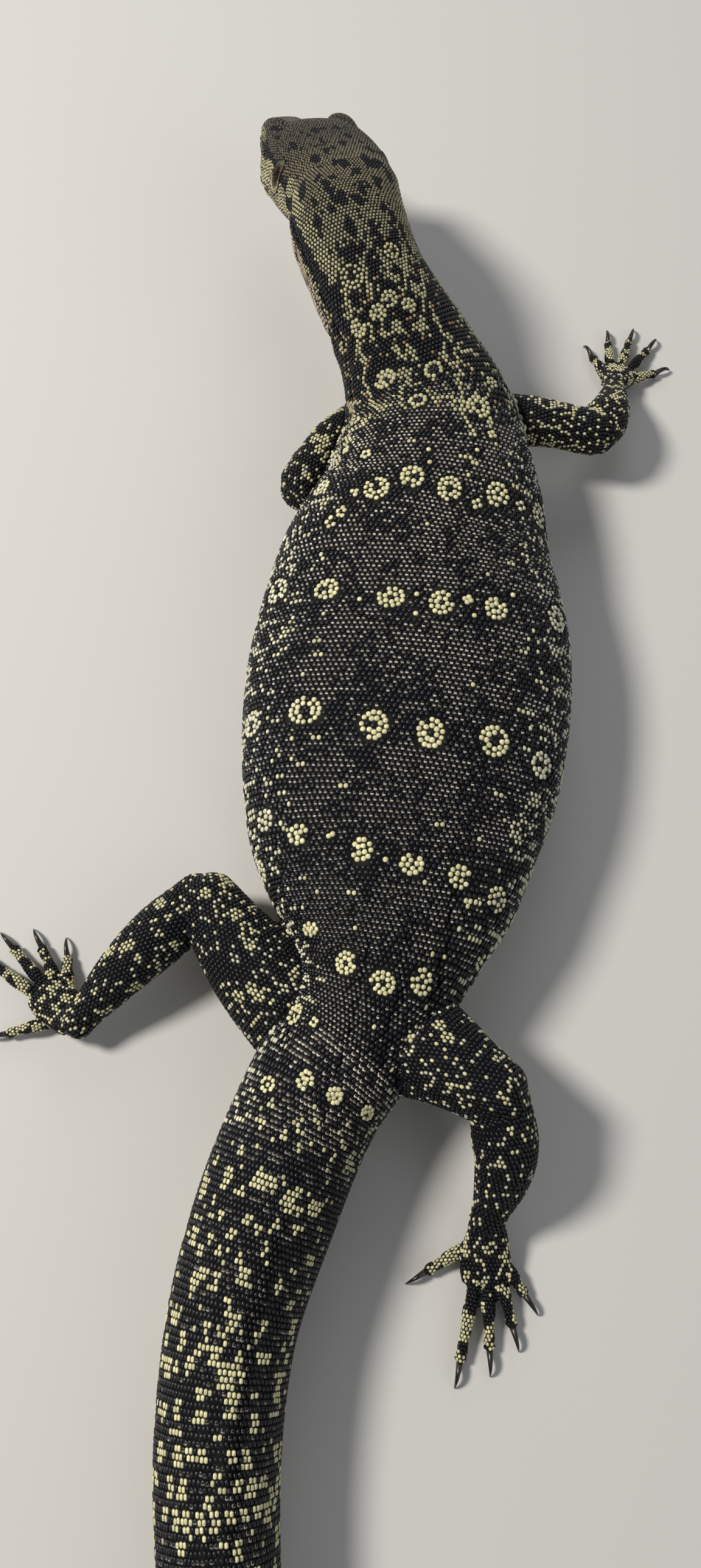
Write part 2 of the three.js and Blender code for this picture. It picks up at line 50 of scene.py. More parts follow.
# The sizes of the solids, in millimetres. Only the back of the second body section is 0.3 lower, so that
# the scales of the nape stay inside the solids.
NAPE = {"at": (-14, 118, 38.7), "yaw": 22, "pitch": -22, "roll": 11}
BODY_NAMES = ("x", "y", "z", "wide", "up", "down", "lean", "peak")
BODY = (
    (-14, 118, 38.7, 13.8, 9, 11.6, 11, 1),
    (-13.4, 108.5, 39.3, 14.5, 9.3, 13.2, 9, 1),
    (-8.6, 97, 34, 14.3, 10.4, 12.8, 6, 1),
    (0.5, 83, 24.5, 17, 12.3, 14.5, 2, 1),
    (6, 69, 17, 21.5, 15.5, 18.5, 0, 1),
    (6, 50, 15, 26.5, 17.8, 17, 0, 1),
    (2.4, 30, 14.5, 32.5, 19, 17, 0, 1),
    (0.6, 8, 14.2, 36.2, 19.6, 17, 0, 1),
    (-1.6, -14, 14.2, 35.6, 19.2, 17, 0, 1),
    (-3.6, -33, 14.2, 32, 17.8, 16.5, 0, 1),
    (-4.6, -50, 14, 25.6, 16, 16, 0, 1),
    (-6.6, -63, 13.6, 18, 14.6, 15.5, 2, 1.02),
    (-11, -74, 13, 15.2, 13.6, 14.5, 5, 1.06),
    (-20.5, -88, 12.4, 14.4, 13.3, 13.4, 12, 1.12),
    (-29.6, -110, 12, 14, 13.4, 13, 19, 1.2),
    (-35.6, -132, 11.6, 12.5, 13.2, 12.6, 20, 1.25),
    (-36.8, -160, 11, 11.5, 12.8, 12, 19, 1.3),
    (-31, -206, 9.6, 9.6, 11.8, 10.5, 14, 1.35),
    (-16, -264, 7.4, 7, 9.8, 8.2, 8, 1.35),
    (4, -332, 5.2, 4.5, 7, 6, 3, 1.35),
    (17, -402, 3.4, 2.6, 4.6, 4.1, 0, 1.3),
    (16, -458, 2.1, 1.5, 2.8, 2.6, 0, 1.2),
    (5, -494, 1.1, 0.7, 1.2, 1.4, 0, 1),
)
BODY_SQUARE = 0.93
NECK_BLEND = 26
NECK_LENGTH = 52

HEAD_LENGTH = 54
HEAD_NAMES = ("y", "wide", "top", "bottom")
HEAD = (
    (0, 13.8, 9, 11.6),
    (5, 14.3, 9.4, 11.1),
    (11, 14.7, 9.9, 10.1),
    (18, 14.8, 10.4, 9.2),
    (24, 14.2, 10.2, 8.4),
    (30, 11.4, 8.7, 7.6),
    (36, 8.5, 6.5, 6.8),
    (43, 7.1, 4.9, 6),
    (50, 6.3, 3.9, 5.2),
    (54, 5.9, 3.2, 4.6),
)
SNOUT_ROUND = 7
HEAD_SQUARE = 0.74
EYE = {"x": 9.4, "y": 28.7, "z": 3.5, "radius": 3}
LID_RADIUS = 3.95
LID_OPENING = {"along": 2.25, "high": 1.85}
BROW = {"x": 8.4, "y": 27, "z": 6, "wide": 3.8, "long": 8.2, "high": 4.1}
EAR = {"y": 10.5, "z": 2.2, "along": 1.35, "high": 2.7, "tilt": 20}
NOSTRIL = {"y": 48.6, "z": 1.6, "along": 1.25, "high": 0.75, "tilt": 25}
MOUTH = ((17, -3.2), (22, -3.7), (30, -3.4), (40, -2.3), (50, -1.7), (60, -1.7))

# How far the round end of a length of leg stands out, as a share of its half thickness.
LIMB_END = 0.8

# Legs: place along the length, half width and half thickness of each section, from root to wrist.
ARM_UPPER = ((0, 6.6, 6.6), (0.35, 6.4, 6.2), (0.7, 5.7, 5.6), (1, 5.8, 5.4))
ARM_LOWER = ((0, 5.2, 5.2), (0.25, 6, 5.6), (0.6, 4.4, 4.2), (0.9, 2.9, 2.7), (1, 2.9, 2.5))
THIGH = ((0, 13.5, 9.5), (0.4, 11, 8.4), (0.75, 8.4, 7.5), (1, 7, 6.6))
SHANK = ((0, 6, 6), (0.3, 6.7, 6.4), (0.65, 5.4, 5), (0.9, 3.9, 3.5), (1, 3.8, 3.3))

# Feet: y, half width, half thickness and z of the palm's sections, and each toe's root x and y, length
# and angle.
HAND = {
    "palm": ((0, 2.9, 2.6, 5.4), (3, 4.2, 2.6, 4), (6.5, 4.9, 2.2, 2.5), (8.5, 4.3, 1.6, 1.9)),
    "toes": (
        (-3.5, 4.8, 6.5, -42), (-2.4, 7, 9, -18), (0, 7.8, 10.5, 0), (2.3, 7.2, 10.5, 17), (3.6, 5, 7.5, 46),
    ),
    "radius": 1.45,
}
FOOT = {
    "palm": ((0, 3.6, 3, 5.8), (4, 4.6, 2.8, 4.2), (9, 5.3, 2.3, 2.7), (12, 4.6, 1.7, 2)),
    "toes": (
        (-3.9, 8, 6.5, -36), (-2.7, 10, 9.5, -16), (-0.4, 11, 12.5, -2), (2, 10.6, 15.5, 11), (4, 5, 9, 58),
    ),
    "radius": 1.55,
}
CLAW_LENGTH = 4.8
CLAW_RADIUS = 0.85
GAP = 0.3
LEGS = (
    {
        "side": "right", "out": 1, "upper": "upper_arm", "lower": "forearm", "end": "hand",
        "foot": HAND, "rows": (ARM_UPPER, ARM_LOWER),
        "upper_path": ((19, 73, 14), (33, 71.5, 15), (46, 70, 13)),
        "lower_path": ((47, 69.5, 12.5), (52, 79, 10), (54.9, 90.7, 5.6)),
        "at": (54.9, 90.7), "yaw": -20,
    },
    {
        "side": "left", "out": -1, "upper": "upper_arm", "lower": "forearm", "end": "hand",
        "foot": HAND, "rows": (ARM_UPPER, ARM_LOWER),
        "upper_path": ((-8, 73, 14), (-18, 64, 15), (-24.5, 54.5, 14)),
        "lower_path": ((-25, 54, 11.5), (-20.5, 66.5, 9), (-13.5, 78, 5.6)),
        "at": (-13.5, 78), "yaw": -42,
    },
    {
        "side": "right", "out": 1, "upper": "thigh", "lower": "shank", "end": "foot",
        "foot": FOOT, "rows": (THIGH, SHANK),
        "upper_path": ((-7, -73, 11), (5, -80.5, 17), (15.5, -88, 20)),
        "lower_path": ((16, -89, 19), (17, -100, 14), (14, -111, 6)),
        "at": (14, -111), "yaw": 178,
    },
    {
        "side": "left", "out": -1, "upper": "thigh", "lower": "shank", "end": "foot",
        "foot": FOOT, "rows": (THIGH, SHANK),
        "upper_path": ((-20, -73, 11), (-34, -60, 12.5), (-43.5, -47.5, 12)),
        "lower_path": ((-44.5, -47, 11.5), (-58, -59.5, 10.5), (-70.5, -72.5, 6)),
        "at": (-70.5, -72.5), "yaw": 45,
    },
)


# Markings, by distance along the body from the nape (s) and round it from the middle of the back
# (arc, to the right), both in millimetres

OCELLI = (  # s, arc, outer radius, radius of the black centre
    (89.5, -11.6, 3.2, 0.9), (85.5, -4.3, 3.1, 1.4), (87, 4.4, 3.2, 0.9), (85, 15.3, 3.1, 1.3),
    (87.5, -26.5, 2.7, 0.9), (91, -16.6, 1.4, 0), (95.5, -18.5, 1.6, 0), (97.5, -20.5, 1.6, 0),
    (84, 28, 2.9, 0.9), (89, 11, 1.5, 0), (85, 21.5, 1.5, 0), (81, -1, 1, 0), (77.5, -1.5, 1, 0),
    (115, 0, 1, 0), (119.5, 0, 1, 0), (115, 11, 1.4, 0), (118.5, 12.5, 1, 0), (116.5, -12, 1, 0),
    (112, 21, 1, 0), (210, -9, 1.2, 0), (189, 11.5, 1, 0), (187.5, 22.5, 1.7, 0), (202.5, 10, 1, 0),
    (76, 9.5, 1, 0), (71, 13, 1.3, 0), (74, -22, 1.3, 0), (111, -32.8, 3.3, 0.8),
    (113.5, -19.6, 2.9, 0.4), (116, -5.4, 3, 0.6), (116.5, 5.4, 3, 0.7), (116, 17.3, 2.8, 0.5),
    (113.5, 33.7, 3.3, 0.9), (113.5, 46, 3.1, 0.8), (110, -45, 3.1, 0.8), (143.5, -35.5, 3.3, 0.9),
    (142.5, -21.3, 3.6, 1), (145.5, -6.3, 3.3, 0.9), (146, 5.3, 3.3, 0.9), (145.5, 18.7, 3.5, 1),
    (147.5, 30.8, 3.1, 0.9), (147, 43, 3.1, 0.9), (141, -46, 3.1, 0.9), (173.5, -32.5, 2.9, 0.7),
    (164, -28.8, 2.4, 0), (167.5, -20.1, 2.4, 0), (168, -13.1, 1.1, 0), (171, -6.7, 2.5, 0),
    (173, -1.8, 1, 0), (173.5, 3.4, 2.5, 0), (175, 13.2, 2.5, 0), (177.5, 22.3, 2.6, 0.6),
    (180, 33, 2.7, 0.6), (190, -26.4, 1.6, 0), (188, -17.1, 2.1, 0), (195, -7.5, 2.6, 0.6),
    (196.5, 0.6, 2.6, 0.6), (194, 8, 2.5, 0.5), (210.5, -14.8, 2.3, 0.5), (219.5, -4.5, 1.9, 0),
    (219, 1.8, 1.9, 0), (218, 10.1, 2, 0), (223, -11.5, 1.8, 0), (23, -8, 2.6, 0.6), (30, -3, 2.2, 0.8),
    (31.5, -7, 2.2, 0), (33.5, 0.5, 2, 0), (32, -12.5, 2.2, 0.8), (48.5, -11, 2.9, 1.4),
    (52, 0.5, 2.7, 1.3), (62.5, -4, 2.3, 0.9), (64.5, 10, 3.2, 1.7), (57.5, 15, 1.7, 0),
    (21.5, 3.5, 2, 0.6), (62.5, -20, 1.8, 0.6), (78, -16, 1.6, 0.6),
)
STROKES = (  # lines of yellow scales on the neck and shoulders
    ((14, -12.5), (18, -11), (21, -10), (24.5, -11), (29.5, -12.5), (34, -13), (35.5, -15), (42, -14),
     (45, -16), (54.5, -15.5), (62.5, -13.5), (62.5, -10)),
    ((23, -5), (25.5, -5.5), (28, -6.5)), ((23.5, 0.5), (25.5, 0), (27.5, 1)),
    ((22.5, 7), (26, 4.5), (30, 1.5)), ((27.5, 9), (33, 5.5), (36, 3.5)), ((37, 2), (40.5, 2)),
    ((41.5, -6.5), (45.5, -5.5)), ((42.5, -3.5), (47, -2.5)), ((38.5, 5.5), (43, 6), (45.5, 7.5)),
    ((46, 5), (49, 4), (51.5, 4.5), (51.5, 6.5)),
    ((49, 11.5), (48.5, 7), (54, 6.5), (63, 6), (65.5, 6), (69.5, 7.5), (72.5, 8.5)),
    ((63, -15.5), (66.5, -17)), ((46.5, -26.5), (50.5, -19)),
    ((52, -21.5), (66, -21.5), (72.5, -22.5), (78, -24)), ((63, -3), (63, 4.5), (65.5, 4)),
    ((37.5, -6), (37, -4), (38.5, -3.5)), ((33, -10), (36, -10.5)), ((49, -5), (55, -6), (55.5, -3.5)),
    ((54.5, -7.5), (61.5, -8), (64.5, -7.5)), ((65, 12.5), (69.5, 12.5), (73.5, 14)),
    ((78, 6), (79.5, 9)), ((30, 14), (40.5, 15.5), (49.5, 18), (56, 22), (66, 26)),
)
HEAD_BLOTCHES = (  # s, arc, half length, half width
    (6.5, -12, 2.4, 1.3), (3.5, -11.5, 1.8, 1.1), (8, -5.5, 2, 1), (11, -3, 1.7, 1.2), (9.5, 2.5, 2, 1.1),
    (12, 1, 1.3, 1.3), (13.5, -10.5, 1.7, 1.2), (16, -3.5, 2.2, 1.5), (17, 1.5, 2.3, 1.2),
    (19.5, -6.5, 2, 1.8), (18, 9.5, 2.3, 1.6), (15.5, 8, 2, 1.4), (5, 2, 1.4, 1), (-3, -7, 2, 1.2),
    (-5, -3.5, 1.6, 1), (-0.5, 4.5, 1.9, 1.1), (2, -1, 1.7, 1.1), (12.5, -6.5, 1.4, 0.8),
    (13.5, 6, 1.8, 1), (8, 7, 1.8, 1.1), (1.5, 7, 1.9, 1.1), (-7.5, 1.5, 1.6, 1), (-11.5, -9.5, 2, 0.9),
    (4, 11, 2, 1.1), (-6, 8, 1.9, 1), (11, 13, 2.4, 1.4), (-16, -2.5, 1.6, 0.9), (-17, 3.5, 1.5, 0.9),
    (21.5, 2.5, 2, 1.4), (23, -2, 1.8, 1.2), (-12, 4.5, 1.6, 0.9), (-10, -3, 1.4, 0.8),
    (4.5, -7.5, 1.3, 0.7), (19, 6, 1.8, 1.1), (24.5, -8.5, 1.6, 1.2),
)
TAIL_BLOCKS = (  # s, arc, half length, half width
    (229.5, -9.5, 1, 0.8), (230, -4.5, 1, 0.8), (228, -2.5, 1, 0.6), (229.5, 1, 1, 0.8), (230, 6, 1, 0.8),
    (231.5, -6.5, 0.9, 0.6), (231, -1, 0.9, 0.6), (225, 0.5, 0.9, 0.6), (223, 6.5, 1, 0.7),
    (226, 7, 1, 0.6), (233.5, -8.5, 1, 0.6), (235, -12, 1, 0.7), (239, -6.2, 2, 1.9), (240, 0, 1.8, 1.6),
    (238.5, -3.5, 1.2, 0.9), (240.5, -13, 2.6, 1.2), (243.5, -19, 2.4, 1.5), (245, -14.5, 1.2, 0.8),
    (240, 5.5, 2.1, 1.7), (247.5, -14, 1, 0.8), (246.5, -11.5, 1.1, 0.7), (245.5, -6.5, 1.1, 0.9),
    (247, -4, 1.1, 0.6), (244.5, -0.5, 1.1, 0.6), (246, -1.5, 0.9, 0.6), (244.5, 3, 0.9, 0.6),
    (249, -8.5, 1.3, 1), (252, -17, 2.1, 1.1), (253.5, -14, 1.6, 0.9), (251, -12.5, 1, 0.8),
    (249.5, -1.5, 1.3, 0.6), (252.5, -5.5, 1.3, 0.7), (252, -10, 1.1, 0.9), (258.5, -13, 2.6, 1.3),
    (257.5, -8.5, 2, 1.1), (255, -4, 2, 1.2), (257, -11, 1.4, 0.8), (259.5, -5.5, 1, 0.6),
    (263, -3.5, 1.8, 1.1), (269, -5.5, 2, 1.2), (270.5, -10.5, 2, 0.9), (267, -7.5, 1.3, 0.8),
    (265.5, -4.5, 1, 0.6), (275, -7, 2, 1.3), (278.5, -7, 1.7, 1.3), (271.5, -3, 2.6, 1.6),
    (275, -1.5, 1.7, 1.3), (264.5, -16, 1.8, 1.1), (267.5, -13, 1.6, 1), (272, -16, 2, 1.2),
    (278, -12, 2.2, 1.1), (255, 3, 1.6, 1), (258, 7, 1.7, 1.1), (262, 10, 2, 1.2), (268, 4, 1.5, 0.9),
    (274, 8, 2, 1.2), (262, 2, 1, 0.6), (249, 9, 1.6, 1), (266, 8, 1.1, 0.7), (279, 3, 1.8, 1.1),
)

# Creases of the skin as depth, half width and a line by s and arc. The paired ones are on both sides.
FOLDS = (
    (0.6, 0.9, ((178.5, -2.5), (184.5, -3.5), (192.5, -4), (198.5, -4), (202.5, -3.5), (207, -1.5),
                (212.5, 0), (224.5, 2))),
    (0.5, 0.9, ((185.5, 4.5), (191.5, 4), (198, 5), (203.5, 5), (209, 7.5))),
    (0.75, 1.2, ((176, 13.5), (183.5, 12), (188.5, 11.5), (194.5, 12), (204, 12.5), (209, 13))),
    (0.7, 1.1, ((181, -31), (188, -27.5), (197.5, -22), (205.5, -20), (212, -15), (218, -12))),
    (0.5, 1, ((184, 31), (190, 27.5), (198, 22), (206, 19))),
)
PAIRED_FOLDS = (
    (0.5, 0.9, ((2.5, 17), (10, 17), (20, 16.5), (26, 17), (36, 19), (48, 22))),
    (0.4, 0.8, ((6, 21.5), (14, 21), (24, 20.5), (34, 23))),
    (0.8, 1.2, ((27, 22), (30.5, 29), (33, 42))),
    (0.5, 1, ((56, 23), (64, 27), (72, 29), (79, 28))),
)


# Curves and sections

def smooth(places, values):
    """A smooth curve of one number through the values that it has at these places."""
    places, values = np.asarray(places, float), np.asarray(values, float)
    last = len(places) - 1
    index = np.arange(last + 1)
    low, high = np.maximum(index - 1, 0), np.minimum(index + 1, last)
    slope = (values[high] - values[low]) / (places[high] - places[low])

    def at(place):
        place = np.asarray(place, float)
        i = np.searchsorted(places[1:-1], place, side="left")
        span = places[i + 1] - places[i]
        t = np.clip((place - places[i]) / span, 0, 1)
        t2, t3 = t * t, t * t * t
        return ((2 * t3 - 3 * t2 + 1) * values[i] + (t3 - 2 * t2 + t) * span * slope[i]
                + (3 * t2 - 2 * t3) * values[i + 1] + (t3 - t2) * span * slope[i + 1])

    return at


def step(value, low, high):
    """0 below low and 1 above high, with a smooth rise between."""
    t = np.clip((value - low) / (high - low), 0, 1)
    return t * t * (3 - 2 * t)


def bump(distance, width):
    return np.exp(-(distance / width) ** 2)


def lengths_along(line):
    """How far along a line each of its points is."""
    return np.concatenate([[0], np.cumsum(np.linalg.norm(np.diff(line, axis=0), axis=1))])


def unit(vectors):
    return vectors / np.maximum(np.linalg.norm(vectors, axis=-1, keepdims=True), 1e-12)


def power(value, exponent):
    return np.sign(value) * np.abs(value) ** exponent


def outline(sides, wide, up, down, square=1, peak=1):
    """A closed section as rows of [right, up], the first one at the right."""
    angle = np.arange(sides) / sides * 2 * math.pi
    high = np.sin(angle) > 0
    rise = power(np.sin(angle), np.where(high, square * peak, square)) * np.where(high, up, down)
    return np.stack([wide * power(np.cos(angle), square), rise], 1)


def turned(vector, axis, degrees):
    """The vector turned about a unit axis."""
    c, s = math.cos(degrees * RAD), math.sin(degrees * RAD)
    return vector * c + np.cross(axis, vector) * s + axis * np.dot(axis, vector) * (1 - c)


def place(section, middle, forward, lean=0):
    """Sets a section upright across a forward direction, leaning to the right."""
    right = unit(np.cross(forward, (0, 0, 1)))
    up = np.cross(right, forward)
    right, up = turned(right, forward, lean), turned(up, forward, lean)
    return middle + section[:, :1] * right + section[:, 1:] * up


def arcs_of(ring):
    """How far each point of a ring is from the middle of the back, to the right, and the way round."""
    arc = lengths_along(ring)
    return arc - arc[len(ring) // 2], arc[-1]


def round_by_back(sides):
    """The order of a ring's points from the lowest one round by the left and the back, to the lowest."""
    return (sides // 4 + sides // 2 - np.arange(sides + 1)) % sides


def from_line(s, arc, line):
    """How far places on the body are from a bent line."""
    away = np.full(len(s), 99.0)
    for (s0, a0), (s1, a1) in zip(line, line[1:]):
        long, wide = s1 - s0, a1 - a0
        t = np.clip(((s - s0) * long + (arc - a0) * wide) / (long ** 2 + wide ** 2), 0, 1)
        away = np.minimum(away, np.hypot(s - s0 - t * long, arc - a0 - t * wide))
    return away


def tree_of(points):
    tree = KDTree(len(points))
    for i, p in enumerate(points):
        tree.insert(p, i)
    tree.balance()
    return tree


def on_floor(points, floor=0.0):
    points = np.array(points)
    points[..., 2] = np.maximum(points[..., 2], floor)
    return points


# Where each part of the body lies: rings of points, one ring for each place along it

body_points = np.array([row[:3] for row in BODY], float)
body_places = lengths_along(body_points)
BODY_END = body_places[-1]
body = {name: smooth(body_places, [row[i] for row in BODY]) for i, name in enumerate(BODY_NAMES)}


def turn_matrix(yaw, pitch, roll):
    """The turn of the head: roll about its length, then pitch, then yaw."""
    cy, sy = math.cos(yaw * RAD), math.sin(yaw * RAD)
    cp, sp = math.cos(pitch * RAD), math.sin(pitch * RAD)
    cr, sr = math.cos(roll * RAD), math.sin(roll * RAD)
    about_z = np.array([[cy, -sy, 0], [sy, cy, 0], [0, 0, 1]])
    about_x = np.array([[1, 0, 0], [0, cp, -sp], [0, sp, cp]])
    about_y = np.array([[cr, 0, sr], [0, 1, 0], [-sr, 0, cr]])
    return about_z @ about_x @ about_y


HEAD_TURN = turn_matrix(NAPE["yaw"], NAPE["pitch"], NAPE["roll"])
HEAD_FORWARD = HEAD_TURN @ np.array([0, 1, 0])


def from_head(points):
    """Points of the head's own frame, set in the model's."""
    return np.asarray(points, float) @ HEAD_TURN.T + np.array(NAPE["at"])


def to_head(points):
    return (np.asarray(points, float) - np.array(NAPE["at"])) @ HEAD_TURN


def body_middle(s):
    return np.array([body["x"](s), body["y"](s), body["z"](s)])


def body_forward(s):
    along = unit(body_middle(max(s - 1.5, 0)) - body_middle(min(s + 1.5, BODY_END)))
    own = step(s, 0, NECK_BLEND)
    along[2] *= 1 - step(s, NECK_BLEND, NECK_LENGTH + NECK_BLEND)
    return unit(HEAD_FORWARD * (1 - own) + unit(along) * own)


def body_ring(s, sides, inset):
    wide, up, down = (body[size](s) - inset for size in ("wide", "up", "down"))
    section = outline(sides, wide, up, down, BODY_SQUARE, body["peak"](s))
    return on_floor(place(section, body_middle(s), body_forward(s), body["lean"](s)), inset)


HEAD_PLACES = [row[0] for row in HEAD]
head = {name: smooth(HEAD_PLACES, [row[i] for row in HEAD]) for i, name in enumerate(HEAD_NAMES)}


def snout_round(y):
    into = max(y - (HEAD_LENGTH - SNOUT_ROUND), 0) / SNOUT_ROUND
    return math.sqrt(max(1 - into ** 2, 0))


def head_ring(y, sides, inset):
    shrink = snout_round(min(y + inset, HEAD_LENGTH - 0.02))
    square = BODY_SQUARE + (HEAD_SQUARE - BODY_SQUARE) * step(y, 0, 12)
    wide = max((head["wide"](y) - inset) * shrink, 0.05)
    top = max((head["top"](y) - inset) * shrink ** 0.6, 0.05)
    bottom = max((head["bottom"](y) - inset) * shrink ** 0.8, 0.05)
    section = outline(sides, wide, top, bottom, square)
    return from_head(np.stack([section[:, 0], np.full(sides, y), section[:, 1]], 1))


def limb_rings(path, rows, sides, inset):
    """Rings round a length of leg along a bent line, with round ends."""
    points = np.array(path, float)
    places = lengths_along(points)
    length = places[-1]
    axes = [smooth(places, points[:, i]) for i in range(3)]
    wide = smooth([row[0] * length for row in rows], [row[1] - inset for row in rows])
    thick = smooth([row[0] * length for row in rows], [row[2] - inset for row in rows])

    def at(s):
        return np.array([axis(s) for axis in axes])

    def ring(s, out, size):
        ahead = unit(at(min(s + 1, length)) - at(max(s - 1, 0)))
        section = outline(sides, wide(s) * size, thick(s) * size, thick(s) * size)
        return on_floor(place(section, at(s) + ahead * out, ahead), inset)

    rings = []
    for angle in np.linspace(88, 8, 9) * RAD:
        rings.append(ring(0, -thick(0) * LIMB_END * math.sin(angle), math.cos(angle)))
    rings += [ring(s, 0, 1) for s in np.linspace(0, length, 40)]
    for angle in np.linspace(8, 88, 9) * RAD:
        rings.append(ring(length, thick(length) * LIMB_END * math.sin(angle), math.cos(angle)))
    return np.array(rings)


def set_foot(points, leg):
    """Points of a foot's own frame, set in the model's."""
    c, s = math.cos(leg["yaw"] * RAD), math.sin(leg["yaw"] * RAD)
    points = np.asarray(points, float)
    x, y = points[..., 0], points[..., 1]
    return np.stack([x * c - y * s + leg["at"][0], x * s + y * c + leg["at"][1], points[..., 2]], -1)


def palm_rings(leg, sides, inset):
    rows = np.array(leg["foot"]["palm"], float)
    rings = []
    for y in np.linspace(rows[0, 0], rows[-1, 0], 14):
        wide, thick, z = (np.interp(y, rows[:, 0], rows[:, i]) for i in (1, 2, 3))
        section = outline(sides, wide - inset, thick - inset, thick + 1 - inset)
        y = np.clip(y, rows[0, 0] + inset, rows[-1, 0] - inset)
        rings.append(place(section, np.array([0, y, z]), np.array([0.0, 1, 0])))
    return set_foot(on_floor(rings, inset), leg)


def toe_line(toe, leg):
    """The line of a toe in its foot's frame, as points, with the last one at the root of the claw."""
    x, y, length, angle = toe
    radius, angle = leg["foot"]["radius"], angle * RAD
    along = np.array([-2.5, length * 0.35, length * 0.75, length])
    points = np.stack([
        (x + math.sin(angle) * along) * leg["out"], y + math.cos(angle) * along,
        np.array([radius, radius + 0.9, radius + 0.45, radius * 0.85]),
    ], 1)
    places = lengths_along(points)
    fine = np.linspace(0, places[-1], 25)
    return np.stack([smooth(places, points[:, i])(fine) for i in range(3)], 1)


def tube_rings(line, radii, sides, flat=1.0):
    """Rings along a line of points."""
    ahead = unit(np.gradient(line, axis=0))
    return np.array([
        place(outline(sides, r * flat, r, r), p, a) for p, a, r in zip(line, ahead, radii)
    ])


def toe_rings(toe, leg, sides, inset):
    line = toe_line(toe, leg)
    t = np.linspace(0, 1, len(line))
    radii = leg["foot"]["radius"] * (1 - 0.28 * t) * (1 + 0.1 * np.cos(t * 4 * math.pi)) - inset
    radii[-1] *= 0.8
    return set_foot(on_floor(tube_rings(line, radii, sides), inset), leg)


# Each part as a name and its rings, a coat's depth inside the solids. The places of the trunk's rings
# are distances from the nape, below 0 on the head.

COAT = 0.35
PALM_COAT = 0.25
TOE_COAT = 0.2
TRUNK_SIDES = 128
LIMB_SIDES = 72
PALM_SIDES = 48
TOE_SIDES = 24
SHEETS = {}
head_places = HEAD_LENGTH * (1 - (1 - np.linspace(0, 1, 90)) ** 1.6)[:0:-1] * 0.998
body_rows = np.concatenate([np.arange(0, 300, 1.0), np.arange(300, BODY_END, 1.5), [BODY_END]])
TRUNK_PLACES = np.concatenate([-head_places, body_rows])
SHEETS["trunk"] = np.array(
    [head_ring(y, TRUNK_SIDES, COAT) for y in head_places]
    + [body_ring(s, TRUNK_SIDES, COAT) for s in body_rows]
)
for leg in LEGS:
    for part, path, rows in zip(("upper", "lower"), (leg["upper_path"], leg["lower_path"]), leg["rows"]):
        SHEETS[f"{leg[part]}_{leg['side']}"] = limb_rings(path, rows, LIMB_SIDES, COAT)
    SHEETS[f"{leg['end']}_{leg['side']}"] = palm_rings(leg, PALM_SIDES, PALM_COAT)
    for i, toe in enumerate(leg["foot"]["toes"]):
        SHEETS[f"toe_{leg['end']}_{leg['side']}_{i + 1}"] = toe_rings(toe, leg, TOE_SIDES, TOE_COAT)


def ball_rings(centre, size, tilt, sides=36):
    """Rings round an ellipsoid of the head, one after the other along its y."""
    angles = np.linspace(-86, 86, 19) * RAD
    round_it = np.arange(sides) / sides * 2 * math.pi
    c, s = math.cos(tilt * RAD), math.sin(tilt * RAD)
    rings = []
    for angle in angles:
        x = size[0] * math.cos(angle) * np.cos(round_it)
        y = np.full(sides, size[1] * math.sin(angle))
        z = size[2] * math.cos(angle) * np.sin(round_it)
        rings.append(np.stack([x, y * c - z * s, y * s + z * c], 1) + np.array(centre))
    return from_head(rings)


for side, name in ((-1, "left"), (1, "right")):
    lid = LID_RADIUS - COAT
    SHEETS[f"lid_{name}"] = ball_rings((side * EYE["x"], EYE["y"], EYE["z"]), (lid, lid, lid), 0)
    SHEETS[f"brow_{name}"] = ball_rings(
        (side * BROW["x"], BROW["y"], BROW["z"]),
        (BROW["wide"] - COAT, BROW["long"] - COAT, BROW["high"] - COAT), -6,
    )


# The skin

SKIN_VOXEL = 0.6
SKIN_TRIANGLES = 195000
EYE_HOLLOW = 1.9  # the radius to which the skin sinks behind an eyeball
FAR = 9.0


def closed(rings):
    """Points and faces of the closed skin over rings."""
    count, sides = rings.shape[:2]
    first = np.arange(count - 1)[:, None] * sides
    here = np.arange(sides)[None, :]
    after = (here + 1) % sides
    quads = np.stack([first + here, first + after, first + sides + after, first + sides + here], -1)
    points = np.concatenate([rings.reshape(-1, 3), rings[:1].mean(1), rings[-1:].mean(1)])
    faces = quads.reshape(-1, 4).tolist()
    last = (count - 1) * sides
    for i in range(sides):
        j = (i + 1) % sides
        faces.append([count * sides, j, i])
        faces.append([count * sides + 1, last + i, last + j])
    return points, faces


def mesh_object(name, points, faces):
    mesh = bpy.data.meshes.new(name)
    mesh.from_pydata((np.asarray(points) * MM).tolist(), [], faces)
    mesh.update()
    piece = bpy.data.objects.new(name, mesh)
    bpy.context.scene.collection.objects.link(piece)
    return piece


def apply_modifiers(piece):
    graph = bpy.context.evaluated_depsgraph_get()
    made = bpy.data.meshes.new_from_object(piece.evaluated_get(graph))
    piece.modifiers.clear()
    old, piece.data = piece.data, made
    bpy.data.meshes.remove(old)


def points_of(mesh):
    points = np.zeros(len(mesh.vertices) * 3, np.float32)
    mesh.vertices.foreach_get("co", points)
    return points.reshape(-1, 3).astype(float) / MM


def normals_of(mesh):
    normals = np.zeros(len(mesh.vertices) * 3, np.float32)
    mesh.vertex_normals.foreach_get("vector", normals)
    return normals.reshape(-1, 3).astype(float)


def set_points(mesh, points):
    mesh.vertices.foreach_set("co", (points * MM).astype(np.float32).ravel())
    mesh.update()


def nearest(tree, points):
    """The nearest point of a surface to each point, with its face and distance."""
    found = [tree.find_nearest(p) for p in points]
    return np.array([f[0] for f in found]), np.array([f[2] for f in found]), np.array([f[3] for f in found])


